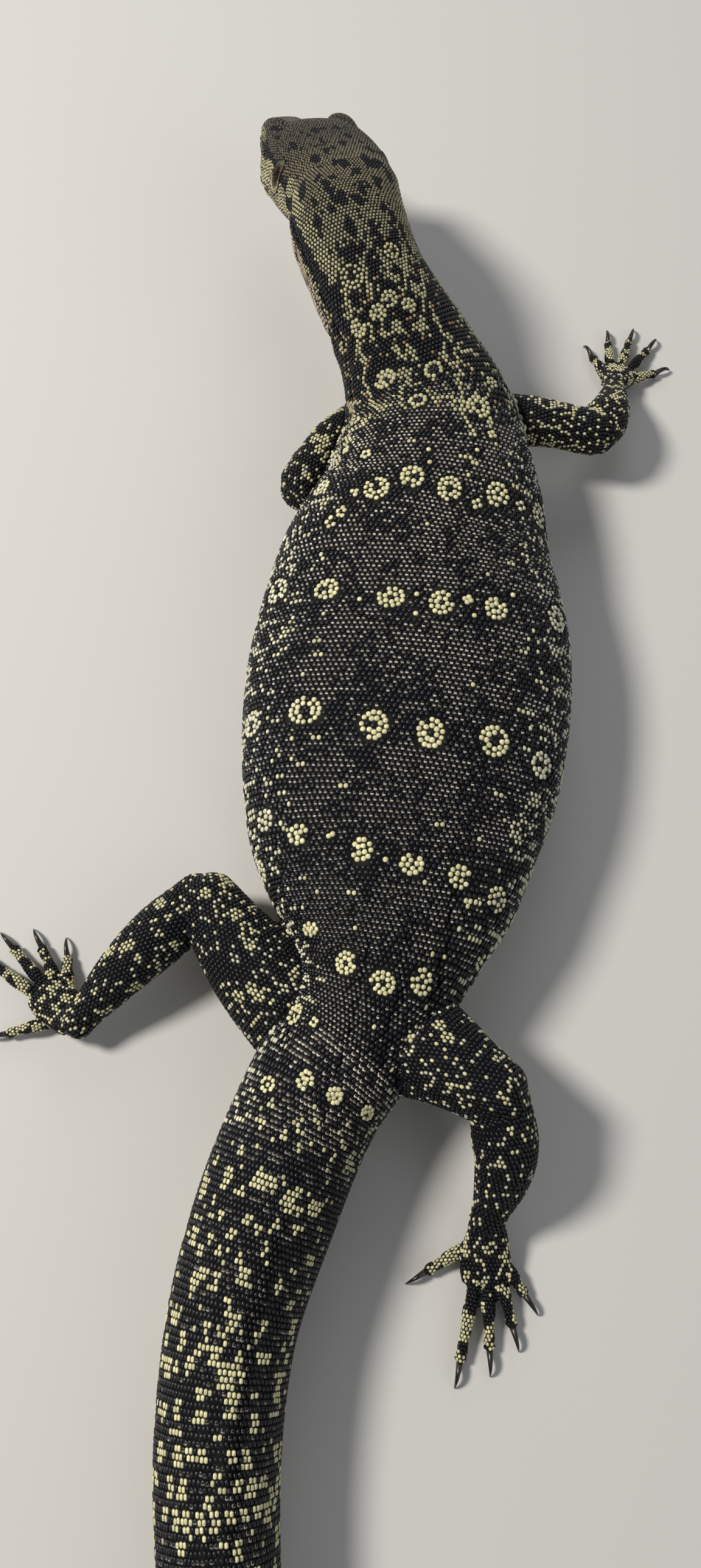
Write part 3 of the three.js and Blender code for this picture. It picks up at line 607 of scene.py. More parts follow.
def pull_back(mesh, tree):
    """Smoothing shrinks the skin, so it goes back to the shapes wherever it isn't a blend between two."""
    points = points_of(mesh)
    target, _, distance = nearest(tree, points)
    keep = 1 - step(distance, 0.18, 0.5)
    set_points(mesh, points + (target - points) * keep[:, None])


def grouped(piece, name, weights):
    """A named group of a mesh's points, with a weight for each."""
    group = piece.vertex_groups.new(name=name)
    for i in np.nonzero(weights)[0]:
        group.add([int(i)], float(weights[i]), "REPLACE")


def eased(piece, iterations, group=""):
    """Smooths a mesh, or a group of its points."""
    ease = piece.modifiers.new("ease", "SMOOTH")
    ease.vertex_group, ease.factor, ease.iterations = group, 0.5, iterations
    apply_modifiers(piece)
    piece.vertex_groups.clear()


def along_head(piece):
    """How far towards the snout each point of a mesh is, from the nape."""
    return to_head(points_of(piece.data))[:, 1]


def merged(shells):
    """Points and faces of several closed shells of rings in one mesh."""
    points, faces = [], []
    for rings in shells:
        shell_points, shell_faces = closed(rings)
        first = sum(len(p) for p in points)
        points.append(shell_points)
        faces += [[first + i for i in face] for face in shell_faces]
    return np.concatenate(points), faces


def refine_head(piece):
    """Splits the faces of the head in four, for its small forms."""
    work = bmesh.new()
    work.from_mesh(piece.data)
    ahead = along_head(piece) > 3
    edges = [e for e in work.edges if ahead[e.verts[0].index] and ahead[e.verts[1].index]]
    bmesh.ops.subdivide_edges(work, edges=edges, cuts=1, use_grid_fill=True)
    bmesh.ops.triangulate(work, faces=work.faces)
    work.to_mesh(piece.data)
    work.free()


def thin_body(piece):
    """Leaves the body fewer faces, and the head all of its own."""
    grouped(piece, "body", 1.0 * (along_head(piece) < 2))
    thin = piece.modifiers.new("thin", "DECIMATE")
    thin.vertex_group = "body"
    thin.ratio = min(SKIN_TRIANGLES / len(piece.data.polygons), 1)
    apply_modifiers(piece)
    piece.vertex_groups.clear()


def root_weights(local):
    """How much each point of the head belongs to the roots of the brows and lids."""
    out, y, z = np.abs(local[:, 0]), local[:, 1], local[:, 2]
    brow = np.sqrt(((out - BROW["x"]) / BROW["wide"]) ** 2 + ((y - BROW["y"]) / BROW["long"]) ** 2
                   + ((z - BROW["z"]) / BROW["high"]) ** 2)
    lid = np.linalg.norm(np.stack([out, y, z], 1) - np.array([EYE[i] for i in "xyz"]), axis=1)
    soft = np.maximum(bump(brow - 1.1, 0.55), bump(lid / LID_RADIUS - 1.15, 0.3)) * (y > 8)
    return np.where(soft > 0.05, soft, 0)


def make_skin():
    """One closed skin over every part, with soft blends where they meet."""
    points, faces = merged(SHEETS.values())
    shapes = BVHTree.FromPolygons(points.tolist(), faces)
    skin = mesh_object("skin", points, faces)
    remesh = skin.modifiers.new("fuse", "REMESH")
    remesh.mode = "VOXEL"
    remesh.voxel_size = SKIN_VOXEL * MM
    eased(skin, 6)
    pull_back(skin.data, shapes)
    grouped(skin, "head", 1.0 * (along_head(skin) > 5))
    eased(skin, 22, "head")
    pull_back(skin.data, shapes)
    refine_head(skin)
    thin_body(skin)
    pull_back(skin.data, shapes)
    grouped(skin, "roots", root_weights(to_head(points_of(skin.data))))
    eased(skin, 40, "roots")
    return skin


mouth_height = smooth([row[0] for row in MOUTH], [row[1] for row in MOUTH])


def opening_share(y, z, opening):
    """How far places on the side of the head are from the middle of a tilted oval opening: 1 at its edge."""
    c, s = math.cos(opening["tilt"] * RAD), math.sin(opening["tilt"] * RAD)
    away_y, away_z = y - opening["y"], z - opening["z"]
    return np.hypot((away_y * c + away_z * s) / opening["along"], (away_z * c - away_y * s) / opening["high"])


def head_features(points):
    """How near points of the head's frame are to ear, nostril and eye, 1 at the edge of each, and how high
    they are above the line of the mouth. Where a feature is far off, its value is FAR."""
    x, y, z = points.T
    out = np.abs(x)
    ear = np.where(out < 9, FAR, opening_share(y, z, EAR))
    nostril = np.where((out < 3) | (y < 40), FAR, opening_share(y, z, NOSTRIL))
    eye = np.hypot((y - EYE["y"]) / LID_OPENING["along"], (z - EYE["z"] + 0.1) / LID_OPENING["high"])
    eye = np.where((np.abs(y - EYE["y"]) > 8) | (out < EYE["x"]), FAR, eye)
    mouth = np.where((y > 16.5) & (np.abs(z) < 9), z - mouth_height(y), FAR)
    return ear, nostril, eye, mouth


def body_places_of(points):
    """The place along the trunk, the place round it and half the way round, of the ring point that is
    nearest to each point, and the distance to it."""
    every = 2
    rings, places = SHEETS["trunk"][TRUNK_PLACES > 0], TRUNK_PLACES[TRUNK_PLACES > 0]
    rings = rings[:, round_by_back(TRUNK_SIDES)]
    arcs, totals = zip(*[arcs_of(ring) for ring in rings])
    arcs = np.array(arcs)[::every, :-1:every]
    tree = tree_of(rings[::every, :-1:every].reshape(-1, 3))
    found = [tree.find(p) for p in points]
    index = np.array([f[1] for f in found])
    row = index // arcs.shape[1]
    half = np.array(totals)[::every][row] / 2
    return places[::every][row], arcs.ravel()[index], half, np.array([f[2] for f in found])


def creases(points):
    """How deep the creases of the neck, shoulders, flanks and hips are at each point."""
    depth = np.zeros(len(points))
    near = (to_head(points)[:, 1] < 2) & (points[:, 1] > -120)
    s, arc, half, distance = body_places_of(points[near])
    here = np.zeros(len(s))
    for deep, wide, line in FOLDS:
        here = np.maximum(here, deep * bump(from_line(s, arc, line), wide))
    for deep, wide, line in PAIRED_FOLDS:
        here = np.maximum(here, deep * bump(from_line(s, np.abs(arc), line), wide))
    side = np.abs(arc) / half
    flank = bump((side - 0.58) * half, 1.3) * step(s, 80, 95) * (1 - step(s, 165, 180))
    here = np.maximum(here, 0.4 * flank)
    wrinkled = step(side, 0.35, 0.5) * step(s, 4, 12) * (1 - step(s, 45, 58))
    here += 0.1 * (1 + np.sin(s * 2.1 + 0.3 * arc)) * wrinkled
    depth[near] = here * (1 - step(distance, 1.2, 2))
    return depth


def set_lids(points, local, eye):
    """Draws the skin round each eye on to a ball, with two rims, and sinks it behind the eyeball."""
    for side in (-1, 1):
        middle = np.array([side * EYE["x"], EYE["y"], EYE["z"]])
        near = (eye < 2.4) & (local[:, 0] * side > 0)
        away = to_head(points[near]) - middle
        far = np.linalg.norm(away, axis=1)
        share = eye[near]
        lid = EYE["radius"] + 0.16 + 0.2 * bump(share - 1.2, 0.14) + 0.16 * bump(share - 1.62, 0.12)
        far = lid + (far - lid) * step(share, 1.15, 2.3)
        far = EYE_HOLLOW + (far - EYE_HOLLOW) * step(share, 0.86, 1.0)
        points[near] = from_head(middle + unit(away) * far[:, None])


def shape_details(skin):
    """The line of the mouth and lips, nostrils, ears and lids, and the folds of the neck and hips."""
    points, normals = points_of(skin.data), normals_of(skin.data)
    local = to_head(points)
    ear, nostril, eye, mouth = head_features(local)
    fade = step(local[:, 1], 15.5, 19)
    raised = -0.5 * bump(mouth, 0.34) * fade
    raised += 0.3 * bump(np.abs(mouth) - 0.95, 0.5) * fade
    raised += 0.3 * bump(ear - 1.3, 0.25) - 1.9 * (1 - step(ear, 0.45, 1.1))
    raised += 0.22 * bump(nostril - 1.5, 0.4) - 1.2 * (1 - step(nostril, 0.4, 1.15))
    raised -= creases(points)
    points = points + normals * raised[:, None]
    set_lids(points, local, eye)
    set_points(skin.data, points)


skin = make_skin()
shape_details(skin)
skin_points, skin_normals = points_of(skin.data), normals_of(skin.data)
skin_faces = np.zeros(len(skin.data.polygons) * 3, np.int32)
skin.data.polygons.foreach_get("vertices", skin_faces)
skin_faces = skin_faces.reshape(-1, 3)
skin_tree = BVHTree.FromPolygons(skin_points.tolist(), skin_faces.tolist())


# Camera, light and floor

camera = bpy.data.objects.new("camera", bpy.data.cameras.new("camera"))
camera.location = (-0.013, -0.108, 0.250)
camera.rotation_euler = (20 * RAD, 0, 0)
camera.data.sensor_width = 36
camera.data.lens = 26.55
camera.data.clip_start = 0.01
bpy.context.scene.collection.objects.link(camera)
bpy.context.scene.camera = camera


def area_light(name, at, towards, size, power_watts, colour):
    light = bpy.data.objects.new(name, bpy.data.lights.new(name, "AREA"))
    light.data.shape = "DISK"
    light.data.size = size
    light.data.energy = power_watts
    light.data.color = colour
    light.location = at
    light.rotation_euler = (Vector(towards) - Vector(at)).to_track_quat("-Z", "Y").to_euler()
    bpy.context.scene.collection.objects.link(light)


area_light("key", (-0.74, 0.14, 0.82), (0, -0.05, 0), 0.25, 13.5, (1, 0.965, 0.92))
area_light("fill", (0.7, -0.6, 0.7), (0, -0.05, 0), 0.9, 2.2, (0.9, 0.94, 1))
area_light("back", (0.1, 0.9, 0.5), (0, 0, 0), 0.6, 2, (0.92, 0.96, 1))

world = bpy.data.worlds.new("studio")
world.use_nodes = True
sky = world.node_tree.nodes["Background"]
sky.inputs["Color"].default_value = (0.86, 0.9, 0.96, 1)
sky.inputs["Strength"].default_value = 0.2
bpy.context.scene.world = world
bpy.context.scene.view_settings.view_transform = "Standard"

FLOOR_REACH = 3
floor_corners = [(x * FLOOR_REACH, y * FLOOR_REACH, 0) for x, y in ((-1, -1), (1, -1), (1, 1), (-1, 1))]
floor_mesh = bpy.data.meshes.new("floor")
floor_mesh.from_pydata(floor_corners, [], [(0, 1, 2, 3)])
floor = bpy.data.objects.new("floor", floor_mesh)
bpy.context.scene.collection.objects.link(floor)


# Materials

def new_material(name):
    material = bpy.data.materials.new(name)
    material.use_nodes = True
    tree = material.node_tree
    return material, tree, tree.nodes["Principled BSDF"]


def grain(tree, scale, detail, low, high):
    """A noise between low and high. Its scale is in features a metre."""
    position = tree.nodes.new("ShaderNodeTexCoord")
    texture = tree.nodes.new("ShaderNodeTexNoise")
    texture.inputs["Scale"].default_value = scale
    texture.inputs["Detail"].default_value = detail
    spread = tree.nodes.new("ShaderNodeMapRange")
    for socket, value in (("From Min", 0.3), ("From Max", 0.7), ("To Min", low), ("To Max", high)):
        spread.inputs[socket].default_value = value
    tree.links.new(position.outputs["Object"], texture.inputs["Vector"])
    tree.links.new(texture.outputs["Fac"], spread.inputs["Value"])
    return spread.outputs["Result"]


def painted_colour(tree, shader, mottle):
    """The painted tint of the mesh as the shader's colour, with a mottle given as a grain's numbers."""
    tint = tree.nodes.new("ShaderNodeAttribute")
    tint.attribute_name = "tint"
    scaled = tree.nodes.new("ShaderNodeVectorMath")
    scaled.operation = "SCALE"
    tree.links.new(tint.outputs["Color"], scaled.inputs[0])
    tree.links.new(grain(tree, *mottle), scaled.inputs["Scale"])
    tree.links.new(scaled.outputs["Vector"], shader.inputs["Base Color"])


def skin_material(name, rough, shine, relief, grain_scale):
    """A mottled skin with an uneven roughness and a fine relief."""
    material, tree, shader = new_material(name)
    painted_colour(tree, shader, (grain_scale, 3, 0.82, 1.15))
    tree.links.new(grain(tree, grain_scale * 0.6, 2, *rough), shader.inputs["Roughness"])
    shader.inputs["Specular IOR Level"].default_value = shine
    raised = tree.nodes.new("ShaderNodeBump")
    raised.inputs["Strength"].default_value = relief
    raised.inputs["Distance"].default_value = 0.05 * MM
    tree.links.new(grain(tree, grain_scale * 2.2, 4, 0, 1), raised.inputs["Height"])
    tree.links.new(raised.outputs["Normal"], shader.inputs["Normal"])
    return material


def eye_material():
    """A smooth, wet eye."""
    material, tree, shader = new_material("eye_gloss")
    painted_colour(tree, shader, (2600, 4, 0.6, 1.4))
    shader.inputs["Roughness"].default_value = 0.12
    shader.inputs["Specular IOR Level"].default_value = 0.2
    shader.inputs["Coat Weight"].default_value = 0.35
    shader.inputs["Coat Roughness"].default_value = 0.03
    return material


def claw_material():
    """Dark polished horn."""
    material, tree, shader = new_material("claw_horn")
    painted_colour(tree, shader, (1500, 3, 0.6, 1.5))
    tree.links.new(grain(tree, 900, 2, 0.22, 0.4), shader.inputs["Roughness"])
    return material


def floor_material():
    material, _, shader = new_material("plain_floor")
    shader.inputs["Base Color"].default_value = (0.56, 0.545, 0.515, 1)
    shader.inputs["Roughness"].default_value = 0.85
    return material


SCALE_LOOK = skin_material("scaly_skin", (0.3, 0.46), 0.34, 0.5, 1400)
HEAD_LOOK = skin_material("head_scales", (0.42, 0.6), 0.3, 0.5, 1800)
SKIN_LOOK = skin_material("skin_between", (0.6, 0.85), 0.1, 0.8, 2400)
EYE_LOOK = eye_material()
CLAW_LOOK = claw_material()
floor_mesh.materials.append(floor_material())


def paint_points(piece, colours, look):
    """Gives each point of a smooth mesh its tint, and the mesh its material."""
    rgba = np.ones((len(colours), 4), np.float32)
    rgba[:, :3] = colours
    mesh = piece.data
    mesh.color_attributes.new("tint", "FLOAT_COLOR", "POINT").data.foreach_set("color", rgba.ravel())
    mesh.polygons.foreach_set("use_smooth", np.ones(len(mesh.polygons), bool))
    mesh.materials.append(look)


# Places for scales: staggered rows round each part. A group of scales is a dict of arrays: where each
# one is, the way it lies, the way out of the body, its place along and round the part, half the way round
# there, its width and length, and its mark: 1 in a pale ring, 0 in the middle of one, otherwise -1.

SCALE_KEYS = ("at", "lie", "outward", "s", "arc", "half", "wide", "long", "mark")


def group_of(scales):
    return {key: np.array([scale[i] for scale in scales], float) for i, key in enumerate(SCALE_KEYS)}


def take(scales, keep):
    return {key: value[keep] for key, value in scales.items()}


def joined(*groups):
    return {key: np.concatenate([g[key] for g in groups]) for key in groups[0]}


def gap_to(tree, points):
    return np.array([tree.find(p)[2] for p in points])


def ring_between(rings, run, distance):
    """The ring at a distance along the rings, from its lowest point round by the left and back."""
    i = min(max(np.searchsorted(run, distance) - 1, 0), len(run) - 2)
    t = (distance - run[i]) / (run[i + 1] - run[i])
    return (rings[i] * (1 - t) + rings[i + 1] * t)[round_by_back(rings.shape[1])]


def scale_rows(rings, marks, along, across, jitter, first=None, last=None):
    """Places for scales on the rings, with the lie towards the last ring. marks are the places that
    the rings are known by, and along and across give the size of a scale there."""
    gaps = np.linalg.norm(np.diff(rings, axis=0), axis=2).mean(1)
    run = np.concatenate([[0], np.cumsum(gaps)])
    sides = rings.shape[1]
    found = []
    distance = np.interp(marks[0] if first is None else first, marks, run)
    final = np.interp(marks[-1] if last is None else last, marks, run)
    row = 0
    while distance < final:
        mark = float(np.interp(distance, run, marks))
        before, after = max(distance - 0.5, 0), min(distance + 0.5, run[-1])
        ring, ring_before, ring_after = (ring_between(rings, run, d) for d in (distance, before, after))
        arc, total = arcs_of(ring)
        count = 2 * max(round(total / across(mark) / 2), 3)
        width = total / count
        spot = (np.arange(count) - count / 2 + (row % 2) / 2) * width
        loose = jitter * (1 + 1.3 * step(-mark, 4, 16)) if mark < 0 else jitter
        spot = spot + rng.normal(0, loose * width, count)
        spot = np.where(spot < arc[0], spot + total, spot)
        spot = np.where(spot > arc[-1], spot - total, spot)
        index = np.interp(spot, arc, np.arange(sides + 1))
        low = np.minimum(index.astype(int), sides - 1)
        part = (index - low)[:, None]
        on_ring, on_before, on_after = (
            r[low] * (1 - part) + r[low + 1] * part for r in (ring, ring_before, ring_after)
        )
        travel = on_after - on_before
        lie = unit(travel)
        stretch = np.linalg.norm(travel, axis=1) / (after - before)
        on_top = np.linalg.norm(ring_after[sides // 2] - ring_before[sides // 2]) / (after - before)
        pace = along(mark) / max(on_top, 0.7)
        found.append(dict(
            at=on_ring + lie * rng.normal(0, loose * along(mark), count)[:, None], lie=lie,
            outward=unit(on_ring - ring[:-1].mean(0)), s=np.full(count, mark), arc=spot,
            half=np.full(count, total / 2), wide=np.full(count, width),
            long=np.maximum(pace * stretch, 0.5 * width), mark=np.full(count, -1),
        ))
        distance += pace
        row += 1
    return joined(*found)


def curve_of(*pairs):
    places, values = zip(*pairs)
    return lambda place: float(np.interp(place, places, values))


TRUNK_ACROSS = curve_of(
    (-54, 0.6), (-45, 0.64), (-30, 0.7), (-12, 0.74), (0, 0.78), (15, 0.86), (40, 1), (60, 1.08), (90, 1.16),
    (145, 1.22), (175, 1.12), (205, 0.98), (240, 0.86), (300, 0.84), (420, 0.84), (610, 0.6),
)
TRUNK_ALONG = curve_of(
    (-54, 0.56), (-45, 0.6), (-30, 0.66), (-12, 0.7), (0, 0.74), (15, 0.8), (40, 0.92), (60, 1), (90, 1.06),
    (145, 1.12), (175, 1.06), (205, 1.02), (240, 1.05), (300, 1.15), (420, 1.35), (610, 1.2),
)


def along_skin(lie, normal):
    """The lie of scales, turned to run along the skin."""
    return unit(lie - normal * (lie * normal).sum(1)[:, None])


def settled(scales, kind):
    """The scales set on the skin, without those that another part or an opening covers."""
    start = scales["at"]
    on_head = scales["s"] < -1 if kind == "trunk" else np.zeros(len(start), bool)
    found = []
    for p, out, from_outside in zip(start, scales["outward"], on_head):
        hit = skin_tree.ray_cast(Vector(p + out * 7), Vector(-out), 12) if from_outside else (None,)
        found.append(skin_tree.find_nearest(p) if hit[0] is None else hit)
    at = np.array([f[0] for f in found])
    face = skin_faces[np.array([f[2] for f in found])]
    keep = np.linalg.norm(at - start, axis=1) < np.where(on_head, 6, 1.3)
    if kind == "trunk":
        ear, nostril, eye, mouth = head_features(to_head(at))
        keep &= (ear > 1.12) & (nostril > 1.2) & (eye > 1.18) & (np.abs(mouth) > 0.3)
    scales = take(scales, keep)
    scales["at"] = at[keep]
    scales["normal"] = unit(skin_normals[face[keep]].mean(1))
    scales["lie"] = along_skin(scales["lie"], scales["normal"])
    return scales


def rosettes():
    """The scales of the round marks of the back, as rings round a middle that is black or pale."""
    rings = SHEETS["trunk"]
    found = []
    for s, arc, outer, inner in OCELLI:
        size = TRUNK_ACROSS(s) * (1.22 if inner > 1.2 else 1.1)
        radius, turn = outer - size / 2, rng.uniform(0, 6)
        oval, gap = rng.uniform(0.88, 1.12), rng.integers(0, 14)
        while radius > -0.3:
            fit = size * (0.93 if radius > outer - size and outer > 2.5 else 1)
            count = 1 if radius < 0.45 else round(2 * math.pi * radius / (0.98 * fit))
            for angle in turn + np.arange(count) / count * 2 * math.pi:
                away = 0 if count == 1 else radius
                s_here = s + away * math.sin(angle) * oval + rng.normal(0, 0.07)
                arc_here = arc + away * math.cos(angle) / oval + rng.normal(0, 0.07)
                ring = ring_between(rings, TRUNK_PLACES, s_here)
                ahead = ring_between(rings, TRUNK_PLACES, s_here + 0.5) - ring
                arcs, total = arcs_of(ring)
                index = np.interp(arc_here, arcs, np.arange(len(arcs)))
                i = min(int(index), len(arcs) - 2)
                at = ring[i] * (1 - index + i) + ring[i + 1] * (index - i)
                pale = radius >= inner * 0.8 and gap != len(found) % 14
                grow = fit * rng.uniform(0.98, 1.1)
                found.append((
                    at, unit(ahead[i]), unit(at - ring[:-1].mean(0)), s_here, arc_here, total / 2,
                    grow * 1.04, grow * 0.88, pale,
                ))
            radius -= size * 0.87
            turn += 0.5
    return group_of(found)


def edge_places():
    """Small scales round eye and ear and along the lips: y, z, the lie's y and z, width and length."""
    long, high = LID_OPENING["along"], LID_OPENING["high"]
    places = []
    for share, size in ((1.12, 0.4), (1.33, 0.46), (1.58, 0.54)):
        count = round(2 * math.pi * 1.95 * share / size)
        for angle in (np.arange(count) + share) / count * 2 * math.pi:
            c, s = math.cos(angle), math.sin(angle)
            y, z = EYE["y"] + long * share * c, EYE["z"] + (high * share * s - 0.1)
            places.append((y, z, -high * s, long * c, size, size))
    c, s = math.cos(EAR["tilt"] * RAD), math.sin(EAR["tilt"] * RAD)
    for share, size in ((1.22, 0.5), (1.5, 0.56)):
        count = round(2 * math.pi * 2.05 * share / size)
        for angle in (np.arange(count) + share) / count * 2 * math.pi:
            y, z = EAR["along"] * share * math.cos(angle), EAR["high"] * share * math.sin(angle)
            places.append((EAR["y"] + y * c - z * s, EAR["z"] + y * s + z * c, -s, c, size, size))
    for y in np.arange(18, 51, 0.92):
        for over in (-0.9, 0.9):
            places.append((y, mouth_height(y) + over, -1, 0, 0.86, 0.78))
    return places


def edge_scales():
    """The small scales of edge_places, set on both sides of the head."""
    found = []
    for side in (-1, 1):
        for y, z, lie_y, lie_z, wide, long in edge_places():
            start = from_head([side * 18, y, z])
            hit = skin_tree.ray_cast(Vector(start), Vector(HEAD_TURN @ np.array([-side, 0, 0])), 18)
            if hit[0] is None:
                continue
            at, lie = np.array(hit[0]), HEAD_TURN @ np.array([0, lie_y, lie_z])
            grow = rng.uniform(0.85, 1.12)
            found.append((at, unit(lie), start - at, -y, side * 8, 22, wide * grow, long * grow, -1))
    edges = group_of(found)
    face = skin_faces[[skin_tree.find_nearest(p)[2] for p in edges["at"]]]
    edges["normal"] = unit(skin_normals[face].mean(1))
    edges["lie"] = along_skin(edges["lie"], edges["normal"])
    return edges


def trunk_scales():
    """Rows of scales over head, body and tail, with room for the round marks and the small edge scales."""
    first, last = -HEAD_LENGTH + 0.4, BODY_END - 1
    rows = settled(
        scale_rows(SHEETS["trunk"], TRUNK_PLACES, TRUNK_ALONG, TRUNK_ACROSS, 0.045, first, last), "trunk",
    )
    round_marks = settled(rosettes(), "trunk")
    edges = edge_scales()
    rows = take(rows, gap_to(tree_of(round_marks["at"]), rows["at"]) > 0.9 * rows["wide"])
    rows = take(rows, gap_to(tree_of(edges["at"]), rows["at"]) > 0.6)
    return joined(rows, round_marks, edges)


def leg_scale_size(name):
    if name.startswith("toe"):
        return 0.72
    return 0.82 if name.startswith(("hand", "foot")) else 0.9


parts = {"trunk": trunk_scales()}
taken = tree_of(parts["trunk"]["at"])
for name, rings in SHEETS.items():
    if name.startswith(("trunk", "lid", "brow")):
        continue
    size = leg_scale_size(name)
    rows = scale_rows(
        rings, np.linspace(0, 100, len(rings)), curve_of((0, size * 1.04)), curve_of((0, size)), 0.07,
    )
    rows = settled(rows, "leg")
    parts[name] = take(rows, gap_to(taken, rows["at"]) > 0.72 * size)
    taken = tree_of(np.concatenate([p["at"] for p in parts.values()]))


def fill_bare():
    """Scales for skin that no row reaches, in the blends between parts."""
    on_head = to_head(skin_points)[:, 1] > 2
    ear, nostril, eye, mouth = head_features(to_head(skin_points))
    bare = (ear > 1.4) & (nostril > 1.5) & (eye > 1.5) & (np.abs(mouth) > 0.6)
    bare &= gap_to(taken, skin_points) > np.where(on_head, 0.8, 0.95)
    bare &= (skin_points[:, 2] > 0.6) & (skin_points[:, 1] > -400)
    added = []
    for i in np.nonzero(bare)[0]:
        if all(np.sum((skin_points[i] - skin_points[j]) ** 2) > 0.75 for j in added[-400:]):
            added.append(i)
    count = len(added)
    normal = skin_normals[added]
    size = np.where(on_head[added], 0.7, 0.92)
    zero = np.zeros(count)
    return dict(
        at=skin_points[added], lie=along_skin(np.tile([0.0, -1, 0], (count, 1)), normal), outward=normal,
        s=zero - 999, arc=zero, half=zero + 1, wide=size, long=size, mark=zero - 1, normal=normal,
    )


# Colours

MARK_ROWS = (87.5, 116, 145, 172, 194, 219, 239)  # the places of the cross rows of round marks
BELLY_BAR = 13.5  # from one dark bar of the belly to the next
TAIL_BAND = 17.5  # from one pale band of the tail to the next
ROUND_CLEAR = 0.7  # how far a pale hind edge stays from a round mark
SPOT_CLEAR = 1.3  # how far a spot stays from one
NAPE_STRIPE = ((-3, -15.8), (1.5, -15.5), (11.5, -13.6), (16, -12.5), (21, -11.2))
NAPE_UNDERLINE = ((-3, -19.5), (3, -18.2), (10, -17), (20, -15.4), (30, -15.8))

BLACK = np.array([0.0042, 0.0041, 0.006])
YELLOW = np.array([0.70, 0.65, 0.37])
PALE = np.array([0.68, 0.65, 0.47])
STRAW = np.array([0.72, 0.65, 0.51])
ASH = np.array([0.70, 0.70, 0.65])
BELLY = np.array([0.68, 0.62, 0.42])
OLIVE = np.array([0.17, 0.143, 0.086])
CROWN = np.array([0.082, 0.069, 0.049])
SNOUT = np.array([0.105, 0.095, 0.075])
CREAM = np.array([0.50, 0.45, 0.28])
THROAT = np.array([0.48, 0.39, 0.29])
RUST = np.array([0.33, 0.19, 0.1])


def cloud(points, size, seed=0.0):
    """A smooth random number from about -1 to 1 at each point, with lumps of this size."""
    shift = Vector((seed * 7.3, seed * 3.1, seed * 5.7))
    return np.array([noise.noise(Vector(p) / size + shift) for p in points])


def mix(a, b, share):
    share = np.asarray(share, float)
    return a * (1 - share[..., None]) + b * share[..., None]


def seeded_spots(points, share, radii, chances):
    """Which points lie in spots that are strewn over them. share is the chance that a point starts one."""
    starts = np.nonzero(rng.random(len(points)) < share)[0]
    tree = tree_of(points)
    found = np.zeros(len(points), bool)
    sizes = rng.choice(radii, len(starts), p=chances)
    for i, radius in zip(starts, sizes):
        for _, j, _ in tree.find_range(points[i], radius):
            found[j] = True
    return found


def in_blocks(s, arc, blocks, ragged, corners=8):
    """Which places lie in marks given as s, arc, half length and half width. More corners make a mark
    oblong, and 2 make it oval."""
    found = np.zeros(len(s), bool)
    for block_s, block_arc, long, wide in blocks:
        away = np.abs((s - block_s) / long) ** corners + np.abs((arc - block_arc) / wide) ** corners
        found |= away ** (1 / corners) < 1 + ragged
    return found


def in_strokes(s, arc, strokes, width):
    found = np.zeros(len(s), bool)
    for line in strokes:
        found |= from_line(s, arc, line) < width
    return found


def painted(colour, where, paint):
    """The colours with a paint, one for all or one for each, where a mask says so."""
    return np.where(where[:, None], paint, colour)


def near_mark_row(s):
    return np.max([bump(s - row, 4.2) for row in MARK_ROWS], axis=0)


def hind_edges(g):
    """Which scales of the back have a pale hind edge, and its colour."""
    s, side = g["s"], g["side"]
    likely = 0.76 + 0.75 * g["lumps"] + 0.35 * g["fine"]
    likely *= (1 - 0.5 * near_mark_row(s) * (side < 0.45)) * (1 - 0.45 * step(side, 0.2, 0.42))
    likely *= (1 - 0.72 * step(s, 216, 245)) * step(s, 50, 64)
    tipped = (g["chance"] < likely) & (s > 46) & (s < 330)
    tip = mix(np.tile(STRAW, (len(s), 1)), ASH, step(side, 0.2, 0.42))
    tip = mix(tip, RUST, (rng.random(len(s)) < 0.06) * (side < 0.3) * 0.6)
    tip *= (rng.uniform(0.35, 1.2, len(s)) * (1 - 0.45 * step(s, 212, 235)))[:, None]
    for mark_s, mark_arc, outer, _ in OCELLI:
        tipped &= np.hypot(s - mark_s, g["arc"] - mark_arc) > outer + ROUND_CLEAR
    return tip, tipped


def paint_spots(g, colour):
    """Pale spots of a scale or two, more of them down the flanks. They keep clear of the round marks."""
    s, side, count = g["s"], g["side"], len(g["s"])
    flank = step(side, 0.2, 0.42)
    spots = seeded_spots(g["at"], 0.008 + 0.19 * flank, (0.6, 1.25), (0.97, 0.03))
    spots &= (s > 58) & (s < 232) & (near_mark_row(s) * (side < 0.3) < 0.75)
    spots = (spots | (np.roll(spots, 1) & (rng.random(count) < 0.35))) & g["plain"]
    for mark_s, mark_arc, outer, _ in OCELLI:
        spots &= np.hypot(s - mark_s, g["arc"] - mark_arc) > outer + SPOT_CLEAR
    g["dot"] = spots & (flank > 0.2) & (rng.random(count) < 0.85)
    return painted(colour, spots, mix(YELLOW * 0.85, PALE, flank))


def paint_neck(g, colour):
    """Yellow lines and strewn dull scales between the round marks of the neck, all duller than the back's:
    the lines are painted darker as the shade of the neck.
    """
    s, count = g["s"], len(g["s"])
    stroke = in_strokes(s, g["arc"], STROKES, 0.62) & g["plain"]
    # the yellow lines, darkened by the neck's painted shade
    colour = painted(colour, stroke, YELLOW * 0.9 * g["dull_neck"])
    neck = (s > 22) & (s < 66) & (g["side"] < 0.5) & g["plain"] & ~stroke
    dull = neck & (rng.random(count) < 0.14)
    colour[dull] = mix(YELLOW * 0.5, RUST * 0.7, rng.random(dull.sum()) < 0.3)
    bright = neck & seeded_spots(g["at"], 0.024, (0.6, 1.1), (0.6, 0.4))
    colour[bright] = YELLOW * 0.6
    g["dot"] |= dull
    return colour, stroke


